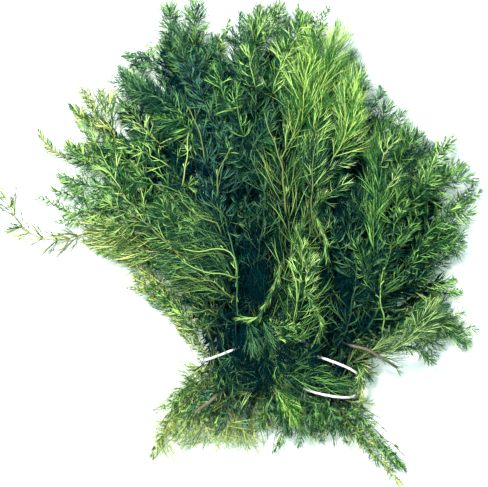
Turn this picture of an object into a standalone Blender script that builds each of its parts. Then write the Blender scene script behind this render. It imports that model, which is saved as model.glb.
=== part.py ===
# A bunch of hornwort, a water plant, in two tied halves that lie side by side on a flat surface.
# Metres, +Z up. +Y points from the cut ends to the growing tips, and X runs across the bunch.
# Each sprig is one closed solid round a stem and its whorls of leaves. It runs from the cut foot,
# through its half's tie, to the tip. Shoots fork off the sprigs. A rubber band holds each half.
# Routes are given in millimetres from the middle of the bunch.

import math

import bmesh
import bpy
import numpy as np

for old in list(bpy.data.objects):
    bpy.data.objects.remove(old, do_unlink=True)

MM = 0.001

# How the bunch lies, in mm
LAYER_PITCH = 11.0  # height between the layers of sprigs where the bunch is thickest
BOTTOM_HEIGHT = 4.4  # axis of the lowest layer above the surface
TIP_PITCH = 7.5  # the layers close up towards the tips
FOOT_PITCH = 5.6  # and towards the cut feet
SWELL = 110.0  # distance above a tie over which the bunch reaches its full thickness
FLATNESS = 3.0  # how many times wider than high a sprig lies
GAP = 1.1  # kept between neighbours across the bunch, and a third of it between layers

# One sprig, in mm
SIDES = 6
TIER_PITCH = 32.0  # whorls are drawn as tiers, each widening towards the tip
TIER_REACH = 0.7  # place of a tier's wide ring, as a share of the pitch
TIER_WAIST = 0.78  # width at a tier's foot, as a share of its wide ring
END_RADIUS = 0.9  # stem radius where it is cut or ends in a bud
SPLAYED = 5.0  # half-width from which a sprig of the lowest layer lies flat
TIP_LENGTH = 26.0  # a sprig narrows to its tip over this length
FOOT_LENGTH = 14.0  # and to its cut foot over this one
LEAFY_ABOVE = 45.0  # distance above the tie at which the leaves stand fully out
LEAFY_BELOW = 24.0  # and below it
FOOT_SHARE = 0.85  # width below the tie, as a share of the width above
SHARPEST_BEND = 0.85  # widest half-width, as a share of the bend's radius
STRAIGHT = 11.0  # a sprig runs straight for this far on each side of its tie
TRACE = 1.5  # spacing of the points at which neighbours are measured

# Each half: where its tie is, how the neck lies, and its sprigs in layers from the bottom up.
# A sprig is its half-width and the points of its route above the tie. "feet" gives the few cut
# feet that stick out, by the sprig's number, and the others fan out between the two fan angles,
# with those of every other layer leaning by "stagger" to lie between the ones below.
LEFT = {
    "name": "left",
    "tie": (1.0, -70.0),
    "turn": 6.0,
    "neck": (23.0, 11.5),
    "row_step": 4.4,
    "row_offset": 0.0,
    "fan": (-36.0, 12.0),
    "stagger": 9.0,
    "foot_reach": (50.0, 66.0),
    "rows": [
        [
            (16, [(-48, -36), (-80, -16), (-112, -2)]),
            (9, [(-50, -14), (-92, 9), (-123, 4), (-146, 12), (-158, 33)]),
            (18, [(-48, 10), (-98, 44), (-136, 74)]),
            (20, [(-38, 26), (-82, 70), (-116, 92)]),
            (22, [(-22, 34), (-40, 100), (-50, 158)]),
            (22, [(0, 34), (0, 100), (-2, 154)]),
            (20, [(22, 0), (36, 56), (40, 110), (38, 151)]),
        ],
        [
            (14, [(-34, -48), (-54, -40), (-76, -30)]),
            (18, [(-48, -8), (-90, 22), (-123, 44)]),
            (18, [(-42, 4), (-76, 38), (-92, 66), (-93, 103)]),
            (20, [(-28, 28), (-58, 84), (-82, 117)]),
            (20, [(-12, 34), (-26, 96), (-32, 159)]),
            (20, [(14, 30), (20, 98), (24, 158)]),
        ],
        [
            (17, [(-40, -24), (-68, -8), (-98, -8)]),
            (18, [(-44, 8), (-84, 42), (-117, 69)]),
            (17, [(-26, 32), (-46, 94), (-60, 119), (-79, 125)]),
            (19, [(-6, 34), (-14, 94), (-19, 138)]),
            (18, [(26, 0), (38, 40), (45, 98), (50, 153)]),
        ],
        [
            (18, [(-34, -10), (-68, 20), (-90, 50), (-104, 80)]),
            (17, [(-20, 12), (-26, 54), (-38, 82), (-58, 97), (-86, 105)]),
            (18, [(-9, 24), (-16, 66), (-28, 94), (-32, 122)]),
            (18, [(4, 26), (8, 78), (6, 118), (14, 156)]),
            (16, [(20, 26), (30, 78), (44, 120), (58, 157)]),
        ],
        [
            (17, [(-20, -36), (-44, -4), (-70, 14), (-96, 26)]),
            (15, [(-3, -34), (-5, -8), (-17, 18), (-13, 50), (-6, 74), (0, 97)]),
            (12, [(9, -30), (12, 34), (7, 58), (17, 73), (27, 91), (38, 112)]),
            (16, [(30, -30), (29, 12), (25, 52), (39, 74), (48, 98), (56, 121), (67, 144)]),
        ],
    ],
    "feet": {0: (-61, -146), 7: (-48, -130), 12: (20, -142), 19: (-30, -137)},
}

RIGHT = {
    "name": "right",
    "tie": (58.0, -89.0),
    "turn": -16.0,
    "neck": (15.0, 10.5),
    "row_step": 5.2,
    "row_offset": 5.0,
    "fan": (-14.0, 40.0),
    "stagger": 10.0,
    "foot_reach": (36.0, 50.0),
    "rows": [
        [
            (20, [(56, -34), (59, 24), (68, 70), (80, 107)]),
            (20, [(78, -30), (104, 22), (125, 67)]),
            (19, [(90, -36), (124, 6), (157, 39)]),
            (17, [(94, -52), (120, -36), (144, -24)]),
            (13, [(90, -68), (116, -57), (137, -60), (154, -68)]),
        ],
        [
            (20, [(66, -30), (84, 38), (97, 96)]),
            (16, [(82, -28), (114, 28), (128, 56), (139, 68)]),
            (15, [(90, -44), (116, -14), (134, 11), (149, 29)]),
            (16, [(92, -64), (118, -52), (143, -52)]),
        ],
        [
            (19, [(66, -26), (78, 28), (85, 60), (88, 84)]),
            (18, [(80, -28), (99, 32), (107, 56), (112, 80)]),
            (18, [(88, -42), (114, -14), (148, 4)]),
            (12, [(82, -72), (104, -66), (118, -72), (125, -82)]),
        ],
        [
            (14, [(50, -58), (54, -36), (57, -14), (47, 18), (47, 44), (64, 60), (73, 84), (77, 120)]),
            (15, [(68, -58), (72, -34), (74, -12), (74, 12), (77, 40)]),
            (15, [(80, -56), (91, -40), (95, -16), (100, 14), (104, 50)]),
            (13, [(84, -74), (100, -73), (118, -56), (134, -37)]),
        ],
    ],
    "feet": {3: (104, -156), 4: (109, -144), 8: (91, -119), 13: (37, -124), 16: (104, -104)},
}

# Shoots: half-width, height of the layer it lies in, and its route from beside its sprig
SHOOTS = [
    (11, 1.3, [(-108, 14), (-122, 24), (-138, 30)]),
    (10, 0.6, [(-95, 84), (-100, 96), (-110, 104)]),
    (10, 2.6, [(-60, 30), (-74, 52), (-92, 62)]),
    (11, 0.6, [(-50, 132), (-62, 128), (-78, 108)]),
    (9, 0.8, [(-18, 118), (-12, 136), (-8, 149)]),
    (9, 0.5, [(60, 100), (70, 118), (76, 126)]),
    (10, 2.4, [(120, 30), (138, 20), (155, 20)]),
    (10, 0.5, [(118, 8), (134, 2), (146, -10)]),
    (10, 2.0, [(108, -34), (126, -26), (142, -37)]),
]

# Rubber bands, in mm: thickness, how far each stands off the neck, how far it sits up the neck from
# the tie, how far it sways up and down the neck from there, and where round the neck it is highest.
# A band of two turns crosses itself opposite that place.
BANDS = {
    "left": {"thickness": 1.7, "clear": 3.0, "turns": 1, "up": 1.6, "spread": 7.5, "highest_at": 0.0},
    "right": {"thickness": 1.7, "clear": 3.8, "turns": 2, "up": -1.0, "spread": 11.5, "highest_at": 120.0},
}
BAND_STEP = 8.5  # degrees of turn for each facet along the band
BAND_SIDES = 5

# Colours (linear RGB) and roughness
COLOURS = {
    "deep": (0.012, 0.075, 0.035, 1.0),
    "mid": (0.055, 0.17, 0.045, 1.0),
    "light": (0.21, 0.36, 0.10, 1.0),
    "rubber": (0.86, 0.86, 0.84, 1.0),
}
LEAF_ROUGHNESS = 0.45
RUBBER_ROUGHNESS = 0.6


def make_material(name, roughness):
    material = bpy.data.materials.new(name)
    material.use_nodes = True
    shader = material.node_tree.nodes["Principled BSDF"]
    shader.inputs["Base Color"].default_value = COLOURS[name]
    shader.inputs["Roughness"].default_value = roughness
    shader.inputs["Metallic"].default_value = 0.0
    material.diffuse_color = COLOURS[name]
    return material


def direction(degrees):
    """Unit vector in the plane, turned this far from +Y towards +X."""
    angle = math.radians(degrees)
    return np.array([math.sin(angle), math.cos(angle)])


def smooth_path(points, step):
    """Points every step or so along a centripetal Catmull-Rom curve through the given ones."""
    points = np.array(points, float)
    ends = [2 * points[0] - points[1]], [2 * points[-1] - points[-2]]
    padded = np.concatenate([ends[0], points, ends[1]])
    knots = np.concatenate([[0], np.cumsum(np.linalg.norm(np.diff(padded, axis=0), axis=1) ** 0.5)])
    path = [points[0]]
    for i in range(1, len(padded) - 2):
        count = max(2, round(float(np.linalg.norm(padded[i + 1] - padded[i])) / step))
        for t in np.linspace(knots[i], knots[i + 1], count + 1)[1:]:
            row = padded[i - 1 : i + 3]
            times = knots[i - 1 : i + 3]
            for level in (1, 2, 3):
                row = [
                    ((times[k + level] - t) * row[k] + (t - times[k]) * row[k + 1])
                    / (times[k + level] - times[k])
                    for k in range(4 - level)
                ]
            path.append(row[0])
    return np.array(path)


def length_along(path):
    return np.concatenate([[0], np.cumsum(np.linalg.norm(np.diff(path, axis=0), axis=1))])


def read_at(path, places):
    """The path's points at these lengths along it."""
    along = length_along(path)
    return np.stack([np.interp(places, along, path[:, k]) for k in range(path.shape[1])], axis=1)


def tie_height(half):
    band = BANDS[half["name"]]
    return half["neck"][1] + band["clear"] + 1.6 * band["thickness"]


def layer_height(half, row, pitch):
    return BOTTOM_HEIGHT + pitch * row + (half["row_offset"] if row else 0.0) * pitch / LAYER_PITCH


def tie_slot(half, row, place):
    """A sprig's place in the neck's oval: its distance across and its height."""
    wide, high = half["neck"]
    up = (row - (len(half["rows"]) - 1) / 2) * half["row_step"]
    across = wide * math.sqrt(1 - (up / high) ** 2) * (2 * place - 1)
    return across, tie_height(half) + up


def sprig_path(half, number, row, place, route):
    """The axis of one sprig, from its cut foot to its tip."""
    tie = np.array(half["tie"])
    side = direction(90 - half["turn"])
    axis = direction(-half["turn"])
    across, tie_z = tie_slot(half, row, place)
    slot = tie + across * side
    lean = (row % 2 - 0.5) * half["stagger"]
    fan = half["fan"][0] + (half["fan"][1] - half["fan"][0]) * place + lean
    near, far = half["foot_reach"]
    reach = near + (far - near) * ((number * 7) % 10) / 9
    foot = half["feet"].get(number, slot - reach * direction(-fan))
    foot_z = layer_height(half, row, FOOT_PITCH)
    plan = [foot, slot - STRAIGHT * axis, slot + STRAIGHT * axis, *route]
    flat = smooth_path(plan, TRACE)
    along = length_along(flat)
    at_tie = along[np.argmin(np.linalg.norm(flat - slot, axis=1))]
    top_z = layer_height(half, row, LAYER_PITCH)
    tip_z = layer_height(half, row, TIP_PITCH)
    above = max(along[-1] - at_tie, 1.0)
    rise = min(SWELL, 0.55 * above)
    heights = np.interp(
        along,
        [0, at_tie - STRAIGHT, at_tie + STRAIGHT, at_tie + rise, along[-1]],
        [foot_z, tie_z, tie_z, top_z, tip_z],
    )
    return np.column_stack([flat, soften(along, heights)]), at_tie


def soften(along, heights):
    """Rounds the corners of the height curve over about a tier."""
    smooth = [
        np.average(heights, weights=np.exp(-(((along - here) / (0.4 * TIER_PITCH)) ** 2)))
        for here in along
    ]
    return np.array(smooth)


def shoot_path(layer, route):
    flat = smooth_path(route, TRACE)
    height = BOTTOM_HEIGHT + layer * (LAYER_PITCH + TIP_PITCH) / 2
    return np.column_stack([flat, np.full(len(flat), height)])


def tier_places(start, end):
    """Where the rings go: a narrow one at each tier's foot and a wide one near its end."""
    tiers = max(1, round((end - start) / TIER_PITCH))
    pitch = (end - start) / tiers
    places = [start]
    for tier in range(tiers):
        places += [start + (tier + TIER_REACH) * pitch, start + (tier + 1) * pitch]
    return places


def squashed(points):
    """Heights stretched so that a sprig's flat oval section becomes round."""
    return points * np.array([1.0, 1.0, FLATNESS])


def between(centres):
    """Points along the straight stretches between the rings, and the stretch that each is on."""
    points, stretch = [], []
    for i in range(len(centres) - 1):
        count = max(2, math.ceil(float(np.linalg.norm(centres[i + 1] - centres[i])) / TRACE))
        for share in np.linspace(0, 1, count + 1):
            points.append(centres[i] + share * (centres[i + 1] - centres[i]))
            stretch.append(i)
    return np.array(points), np.array(stretch)


def nearest(points, others):
    blocks = [np.linalg.norm(points[:, None] - others[None, k : k + 4000], axis=2).min(axis=1)
              for k in range(0, len(others), 4000)]
    return np.min(blocks, axis=0)


def room_round(axes, bands):
    """For each axis, the widest half-width at each ring that clears its neighbours and bands."""
    traced = [between(axis) for axis in axes]
    rope = np.concatenate([band["path"] for band in bands])
    radius = bands[0]["radius"]
    rooms = []
    for i, (points, stretch) in enumerate(traced):
        flat = squashed(points)
        others = np.concatenate([squashed(other) for j, (other, _) in enumerate(traced) if j != i])
        to_rope = np.maximum(
            nearest(points, rope) - radius - GAP / FLATNESS,
            nearest(flat, squashed(rope)) - FLATNESS * radius - GAP,
        )
        room = np.minimum((nearest(flat, others) - GAP) / 2, to_rope)
        by_stretch = [room[stretch == k].min() for k in range(stretch.max() + 1)]
        rooms.append(np.minimum([by_stretch[0], *by_stretch], [*by_stretch, by_stretch[-1]]))
    return rooms


def bend_limit(centres):
    """Half-widths that keep one ring from running into the next on the inside of a bend."""
    limits = np.full(len(centres), 1e3)
    for i in range(1, len(centres) - 1):
        a, b = centres[i] - centres[i - 1], centres[i + 1] - centres[i]
        turn = math.acos(min(1, max(-1, a @ b / (np.linalg.norm(a) * np.linalg.norm(b)))))
        if turn > 1e-3:
            limits[i] = SHARPEST_BEND * min(np.linalg.norm(a), np.linalg.norm(b)) / (
                2 * math.tan(turn / 2)
            )
    return limits


def widths_along(places, half_width, at_tie):
    """Half-width at each ring: narrow at the ends and at the tie, in tiers elsewhere."""
    total = places[-1]
    grown = np.minimum(1, (total - places) / TIP_LENGTH) ** 0.6
    if at_tie is None:
        shape = grown * np.minimum(1, 0.35 + places / (1.5 * FOOT_LENGTH))
    else:
        above = np.clip((places - at_tie) / LEAFY_ABOVE, 0, 1) ** 0.7
        below = FOOT_SHARE * np.clip((at_tie - places) / LEAFY_BELOW, 0, 1) ** 0.7
        cut = np.minimum(1, 0.3 + places / FOOT_LENGTH)
        shape = np.maximum(above * grown, below * cut)
    tiers = np.where(np.arange(len(places)) % 2, 1.0, TIER_WAIST)
    return np.maximum(half_width * shape * tiers, END_RADIUS)


def ring_frame(centres, i):
    before, after = centres[max(i - 1, 0)], centres[min(i + 1, len(centres) - 1)]
    along = (after - before) / np.linalg.norm(after - before)
    side = np.cross(along, (0, 0, 1))
    side /= np.linalg.norm(side)
    return side, np.cross(side, along)


def make_sprig(name, centres, widths, on_ground, material):
    """A closed solid of oval rings, each extruded from the last. One of the lowest layer is flat
    underneath, where its leaves splay on the surface."""
    bm = bmesh.new()
    ring = bmesh.ops.create_circle(bm, cap_ends=True, segments=SIDES, radius=1.0)["verts"]
    cap = bm.faces[:][0]
    for i, centre in enumerate(centres):
        if i:
            made = bmesh.ops.extrude_face_region(bm, geom=[cap])["geom"]
            if i > 1:
                bmesh.ops.delete(bm, geom=[cap], context="FACES_ONLY")
            cap = next(part for part in made if isinstance(part, bmesh.types.BMFace))
            ring = [loop.vert for loop in cap.loops]
        side, up = ring_frame(centres, i)
        for k, vert in enumerate(ring):
            angle = 2 * math.pi * k / SIDES
            spot = centre + widths[i] * (
                math.cos(angle) * side + math.sin(angle) / FLATNESS * up
            )
            lying = on_ground and widths[i] > SPLAYED and math.sin(angle) < -0.1
            spot[2] = 0.0 if lying else max(spot[2], 0.0)
            vert.co = [float(value) * MM for value in spot]
    bmesh.ops.recalc_face_normals(bm, faces=bm.faces)
    return finish(name, bm, material)


def band_path(half):
    """The middle of the rubber band: closed, round the neck once or twice."""
    band = BANDS[half["name"]]
    side = np.array([*direction(90 - half["turn"]), 0.0])
    axis = np.array([*direction(-half["turn"]), 0.0])
    centre = np.array([*half["tie"], tie_height(half)])
    count = round(360 * band["turns"] / BAND_STEP)
    path = []
    for k in range(count):
        angle = 2 * math.pi * band["turns"] * k / count
        swing = (angle - math.radians(band["highest_at"])) / band["turns"]
        twice = band["turns"] > 1
        out = band["clear"] + (0.75 * band["thickness"] * math.sin(swing) if twice else 0.0)
        path.append(
            centre
            + (half["neck"][0] + out) * math.cos(angle) * side
            + (half["neck"][1] + out) * math.sin(angle) * np.array([0.0, 0.0, 1.0])
            + (band["up"] + band["spread"] * math.cos(swing)) * axis
        )
    return np.array(path)


def make_band(name, path, radius, material):
    """A closed tube of rubber: rings bridged one after another, and the last to the first."""
    bm = bmesh.new()
    rings = []
    for i, centre in enumerate(path):
        along = path[(i + 1) % len(path)] - path[i - 1]
        along /= np.linalg.norm(along)
        out = centre - path.mean(axis=0)
        out -= (out @ along) * along
        out /= np.linalg.norm(out)
        over = np.cross(along, out)
        made = bmesh.ops.create_circle(bm, segments=BAND_SIDES, radius=1.0)["verts"]
        for k, vert in enumerate(made):
            angle = 2 * math.pi * k / BAND_SIDES
            spot = centre + radius * (math.cos(angle) * out + math.sin(angle) * over)
            vert.co = [float(value) * MM for value in spot]
        rings.append({edge for vert in made for edge in vert.link_edges})
    for i, ring in enumerate(rings):
        bmesh.ops.bridge_loops(bm, edges=list(ring | rings[(i + 1) % len(rings)]))
    bmesh.ops.recalc_face_normals(bm, faces=bm.faces)
    return finish(name, bm, material)


def finish(name, bm, material):
    mesh = bpy.data.meshes.new(name)
    bm.to_mesh(mesh)
    bm.free()
    mesh.materials.append(material)
    mesh.shade_smooth()
    mesh.set_sharp_from_angle(angle=math.radians(40))
    obj = bpy.data.objects.new(name, mesh)
    bpy.context.scene.collection.objects.link(obj)
    return obj


def plan_sprigs():
    """Every sprig and shoot as its name, ring centres, wished half-widths and colour."""
    plans = []
    for half in (LEFT, RIGHT):
        number = 0
        for row, sprigs in enumerate(half["rows"]):
            for k, (half_width, route) in enumerate(sprigs):
                path, at_tie = sprig_path(half, number, row, k / (len(sprigs) - 1), route)
                places = np.array(
                    tier_places(0, at_tie - STRAIGHT)
                    + tier_places(at_tie + STRAIGHT, length_along(path)[-1])
                )
                number += 1
                plans.append({
                    "name": f"{half['name']}_sprig_{number:02d}",
                    "centres": read_at(path, places),
                    "widths": widths_along(places, half_width, at_tie),
                    "on_ground": row == 0,
                    "colour": ("deep", "deep", "mid", "mid", "light")[row],
                })
    for number, (half_width, layer, route) in enumerate(SHOOTS, 1):
        path = shoot_path(layer, route)
        places = np.array(tier_places(0, length_along(path)[-1]))
        plans.append({
            "name": f"shoot_{number:02d}",
            "centres": read_at(path, places),
            "widths": widths_along(places, half_width, None),
            "on_ground": False,
            "colour": "mid",
        })
    return plans


def main():
    leaves = {name: make_material(name, LEAF_ROUGHNESS) for name in ("deep", "mid", "light")}
    rubber = make_material("rubber", RUBBER_ROUGHNESS)
    bands = []
    for half in (LEFT, RIGHT):
        bands.append({
            "name": half["name"] + "_band",
            "path": band_path(half),
            "radius": BANDS[half["name"]]["thickness"] / 2,
        })
    plans = plan_sprigs()
    rooms = room_round([plan["centres"] for plan in plans], bands)
    for plan, room in zip(plans, rooms):
        widths = np.minimum(np.minimum(plan["widths"], room), bend_limit(plan["centres"]))
        material = leaves[plan["colour"]]
        make_sprig(plan["name"], plan["centres"], widths, plan["on_ground"], material)
    for band in bands:
        make_band(band["name"], band["path"], band["radius"], rubber)


main()
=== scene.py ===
# Looks for a tied bunch of hornwort that lies flat: stems, whorls of forked leaves and rubber bands
import math

import bmesh
import bpy
import numpy as np
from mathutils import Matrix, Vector


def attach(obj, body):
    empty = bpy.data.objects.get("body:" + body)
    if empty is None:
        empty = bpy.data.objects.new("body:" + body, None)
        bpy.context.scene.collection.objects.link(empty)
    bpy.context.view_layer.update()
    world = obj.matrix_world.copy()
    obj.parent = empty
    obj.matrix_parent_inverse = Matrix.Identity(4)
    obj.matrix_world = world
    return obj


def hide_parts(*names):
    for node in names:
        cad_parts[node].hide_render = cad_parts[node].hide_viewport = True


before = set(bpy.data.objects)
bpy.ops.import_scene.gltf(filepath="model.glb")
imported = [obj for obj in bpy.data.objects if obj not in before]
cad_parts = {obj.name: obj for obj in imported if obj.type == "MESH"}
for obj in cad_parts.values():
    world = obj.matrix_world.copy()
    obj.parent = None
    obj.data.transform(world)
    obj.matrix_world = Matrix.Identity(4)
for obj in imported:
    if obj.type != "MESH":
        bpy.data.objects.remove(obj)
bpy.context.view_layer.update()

mm = 0.001
print("frame loaded:", len(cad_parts), "nodes")

# The bunch, in mm, laid out as its solids are

bunch = {
    "layerPitch": 11.0,      # height between layers where the bunch is thickest
    "bottomHeight": 4.4,     # axis of the lowest layer
    "tipPitch": 7.5,         # layers close up towards the tips
    "footPitch": 5.6,        # and towards the cut feet
    "swell": (110.0, 0.55),  # distance above a tie to full thickness, at most this share of the rest
    "straight": 11.0,        # straight run on each side of a tie
    "trace": 1.5,            # spacing of the points along a path
    "rounding": 12.8,        # softens the corners of the height curve
    "sways": [(0.4, 17.0), (1.0, 55.0), (1.6, 131.0)],   # how far a stem strays, over what length
    "steady": (40.0, 20.0),  # it strays less this close to its tie and to its tip
    "tieZone": 9.0,          # leaves are pressed along the stems this close to a tie
    "sink": (49.0, 0.4),     # what rises above this height lies down to this share of the rest
    "lowest": 1.5,           # least height of a side shoot's stem
    "underTie": 1.6,         # room for the band under a neck, in its thicknesses
}

# The two halves. A sprig is its habit, its tint and its route above the tie, in layers from the
# bottom up. The feet are the cut ends that can be seen, by the number of their sprig from 0
leftHalf = {
    "name": "left", "tie": (1.0, -70.0), "turn": 6.0,
    "neck": (23.0, 11.5),        # half its width and half its height at the tie
    "footThin": 0.86,            # share of the leaves that is lost at the feet
    "short": 0.0,                # how much shorter its stems stop, in tip leaves
    "depth": (0.3, 1.0, 0.6),    # shade at the left, in the middle and at the right of the fan
    "rowStep": 4.4,              # height between the layers in the neck
    "rowOffset": 0.0,            # how much higher all but the lowest layer lie
    "bandClear": 3.0, "bandThick": 1.7, "bandTurns": 1,
    "bandUp": 1.6, "bandSpread": 7.5, "bandHighest": 0.0,     # up the neck: where, sway, highest at
    "fan": (-36.0, 12.0),        # which way the feet point, from the left to the right
    "stagger": 9.0,              # how far the feet of every other layer are turned from that
    "footReach": (50.0, 66.0),   # least and most length of a foot
    "feet": {0: (-61, -146), 7: (-48, -130), 12: (20, -142), 19: (-30, -137)},
    "rows": [
        [
            ("moss", "yellow", [(-46, -34), (-80, -13), (-108, 1)]),
            ("sparse", "straw", [(-50, -14), (-92, 7), (-123, 1), (-147, 9), (-160, 31)]),
            ("slim", "yellow", [(-48, 10), (-98, 48), (-126, 60), (-137, 75)]),
            ("tapered", "deep", [(-38, 26), (-82, 70), (-116, 92)]),
            ("foxtail", "green", [(-22, 34), (-39, 100), (-49, 158)]),
            ("tapered", "teal", [(0, 34), (0, 100), (-2, 154)]),
            ("bushy", "teal", [(22, 0), (36, 56), (40, 110), (38, 151)]),
        ],
        [
            ("short", "yellow", [(-34, -48), (-54, -40), (-76, -30)]),
            ("tapered", "bright", [(-48, -8), (-90, 22), (-123, 44)]),
            ("airy", "yellow", [(-42, 4), (-76, 38), (-92, 66), (-93, 103)]),
            ("tapered", "deep", [(-28, 28), (-58, 84), (-82, 117)]),
            ("foxtail", "green", [(-12, 34), (-26, 96), (-32, 160)]),
            ("bushy", "green", [(14, 30), (20, 98), (24, 158)]),
        ],
        [
            ("short", "bright", [(-40, -24), (-68, -8), (-98, -8)]),
            ("tapered", "bright", [(-44, 8), (-84, 40), (-116, 66)]),
            ("tapered", "deep", [(-26, 32), (-46, 94), (-60, 119), (-79, 125)]),
            ("tapered", "deep", [(-6, 34), (-14, 94), (-19, 138)]),
            ("bushy", "green", [(26, 0), (38, 40), (45, 98), (50, 153)]),
        ],
        [
            ("airy", "bright", [(-34, -10), (-68, 20), (-90, 50), (-104, 80)]),
            ("bushy", "deep", [(-20, 12), (-26, 54), (-38, 82), (-58, 97), (-86, 105)]),
            ("bushy", "teal", [(-9, 24), (-16, 66), (-28, 94), (-32, 122)]),
            ("foxtail", "deep", [(4, 26), (8, 78), (6, 118), (14, 156)]),
            ("tapered", "bright", [(20, 26), (30, 78), (44, 120), (58, 157)]),
        ],
        [
            ("airy", "olive", [(-20, -36), (-44, -4), (-70, 14), (-96, 26)]),
            ("airy", "teal", [(-3, -34), (-5, -8), (-17, 18), (-13, 50), (-6, 74), (0, 97)]),
            ("airy", "deep", [(9, -30), (12, 34), (7, 58), (17, 73), (27, 91), (38, 112)]),
            ("hair", "lime",
             [(30, -30), (29, 12), (25, 52), (39, 74), (48, 98), (56, 121), (67, 144)]),
        ],
    ],
}

rightHalf = {
    "name": "right", "tie": (58.0, -89.0), "turn": -16.0, "neck": (15.0, 10.5),
    "footThin": 0.65, "short": 0.3, "depth": (1.0, 0.9, 0.5),
    "rowStep": 5.2, "rowOffset": 5.0, "bandClear": 3.8, "bandThick": 1.7, "bandTurns": 2,
    "bandUp": -1.0, "bandSpread": 11.5, "bandHighest": 120.0,
    "fan": (-14.0, 40.0), "stagger": 10.0, "footReach": (36.0, 50.0),
    "feet": {3: (104, -156), 4: (109, -144), 8: (91, -119), 13: (37, -124), 16: (104, -104)},
    "rows": [
        [
            ("foxtail", "deep", [(56, -34), (59, 24), (68, 70), (80, 107)]),
            ("bushy", "teal", [(78, -30), (104, 22), (125, 67)]),
            ("tapered", "green", [(90, -36), (124, 6), (157, 39)]),
            ("tapered", "green", [(94, -52), (120, -36), (144, -24)]),
            ("airy", "bright", [(90, -68), (116, -57), (137, -60), (154, -68)]),
        ],
        [
            ("foxtail", "green", [(66, -30), (84, 38), (97, 96)]),
            ("airy", "bright", [(82, -28), (114, 28), (128, 56), (139, 68)]),
            ("airy", "bright", [(90, -44), (116, -14), (134, 11), (149, 29)]),
            ("short", "green", [(92, -64), (118, -52), (143, -52)]),
        ],
        [
            ("brush", "green", [(66, -26), (78, 28), (85, 60), (88, 84)]),
            ("foxtail", "green", [(80, -28), (99, 32), (107, 56), (112, 80)]),
            ("tapered", "green", [(88, -42), (114, -14), (148, 4)]),
            ("short", "olive", [(82, -72), (104, -66), (118, -72), (125, -82)]),
        ],
        [
            ("airy", "deep",
             [(50, -58), (54, -36), (57, -14), (47, 18), (47, 44), (64, 60), (73, 84), (77, 120)]),
            ("airy", "deep", [(68, -58), (72, -34), (74, -12), (74, 12), (77, 40)]),
            ("airy", "green", [(80, -56), (91, -40), (95, -16), (100, 14), (104, 50)]),
            ("brush", "pale", [(84, -74), (100, -73), (118, -56), (134, -37)]),
        ],
    ],
}

# A shoot is its habit, its tint, its layer and its route
shoots = [
    ("slim", "bright", 1.3, [(-108, 14), (-122, 24), (-138, 30)]),
    ("airy", "straw", 0.6, [(-95, 84), (-100, 96), (-110, 104)]),
    ("airy", "green", 2.6, [(-60, 30), (-74, 52), (-92, 62)]),
    ("airy", "bright", 0.6, [(-50, 132), (-62, 128), (-78, 108)]),
    ("moss", "bright", 0.8, [(-18, 118), (-12, 136), (-8, 149)]),
    ("bushy", "green", 0.5, [(60, 100), (70, 118), (76, 126)]),
    ("airy", "bright", 2.4, [(120, 30), (138, 20), (155, 20)]),
    ("airy", "green", 0.5, [(118, 8), (134, 2), (146, -10)]),
    ("airy", "bright", 2.0, [(108, -34), (126, -26), (142, -37)]),
]

# How each habit grows, in mm and degrees: the length of a grown leaf and of a tip leaf, the leaves
# of a whorl, their lean off the stem, their curl, how far the whorl spreads up and down for its
# width, the gap between whorls at the tip, further down and at the foot, how far the tip reaches,
# and the thickness of a leaf and of the stem
habitKeys = (
    "leaf", "tipLeaf", "leaves", "lean", "curl", "flat",
    "tipStep", "midStep", "lowStep", "tipZone", "thick", "stem",
)
habitRows = {
    "bushy": (23.0, 13.0, 11, 60, 1.0, 0.4, 3.2, 6.2, 8.0, 50, 0.56, 1.0),
    "foxtail": (23.0, 17.5, 14, 70, 1.1, 0.45, 2.4, 5.4, 8.5, 70, 0.58, 1.0),
    "tapered": (17.0, 7.0, 10, 58, 1.0, 0.4, 2.4, 6.0, 7.5, 50, 0.58, 1.0),
    "airy": (21.0, 14.0, 9, 62, 1.0, 0.5, 4.2, 8.5, 10.0, 40, 0.54, 1.1),
    "sparse": (21.0, 19.0, 8, 48, 0.9, 0.45, 6.0, 8.5, 9.0, 30, 0.7, 1.2),
    "hair": (36.0, 25.0, 14, 42, 1.3, 0.35, 4.0, 6.5, 8.5, 60, 0.35, 0.9),
    "brush": (24.0, 20.0, 12, 24, 1.1, 0.5, 4.0, 6.0, 8.5, 60, 0.4, 0.9),
    "short": (10.0, 8.0, 9, 46, 0.9, 0.5, 2.6, 4.5, 5.5, 40, 0.5, 1.0),
    "slim": (13.0, 7.0, 9, 52, 1.0, 0.4, 2.6, 5.0, 7.0, 40, 0.6, 1.1),
    "curly": (25.0, 23.0, 6, 60, 1.6, 0.6, 4.5, 6.0, 7.0, 30, 0.6, 0.8),     # loose old leaves
    "arc": (21.0, 17.0, 7, 78, 1.5, 0.25, 5.0, 7.0, 8.0, 30, 0.38, 0.9),     # leaves that cross
    "rope": (12.0, 11.0, 9, 14, 1.4, 0.9, 2.4, 2.8, 3.2, 40, 0.5, 1.3),
    "moss": (8.0, 6.0, 9, 55, 0.8, 0.6, 2.0, 3.0, 3.5, 30, 0.5, 0.9),
    "bare": (12.0, 5.0, 3, 40, 0.8, 0.5, 9.0, 14.0, 16.0, 30, 0.5, 1.15),
    "cut": (13.0, 12.0, 7, 75, 1.2, 0.6, 8.0, 16.0, 20.0, 20, 0.5, 2.0),     # an old cut stem
    "star": (14.0, 12.0, 11, 95, 0.5, 1.0, 9.0, 9.0, 9.0, 20, 0.6, 1.3),     # a cut end, upright
    "bed": (22.0, 16.0, 10, 60, 0.8, 0.25, 4.0, 5.0, 5.0, 30, 2.0, 1.2),     # filling
}
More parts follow.
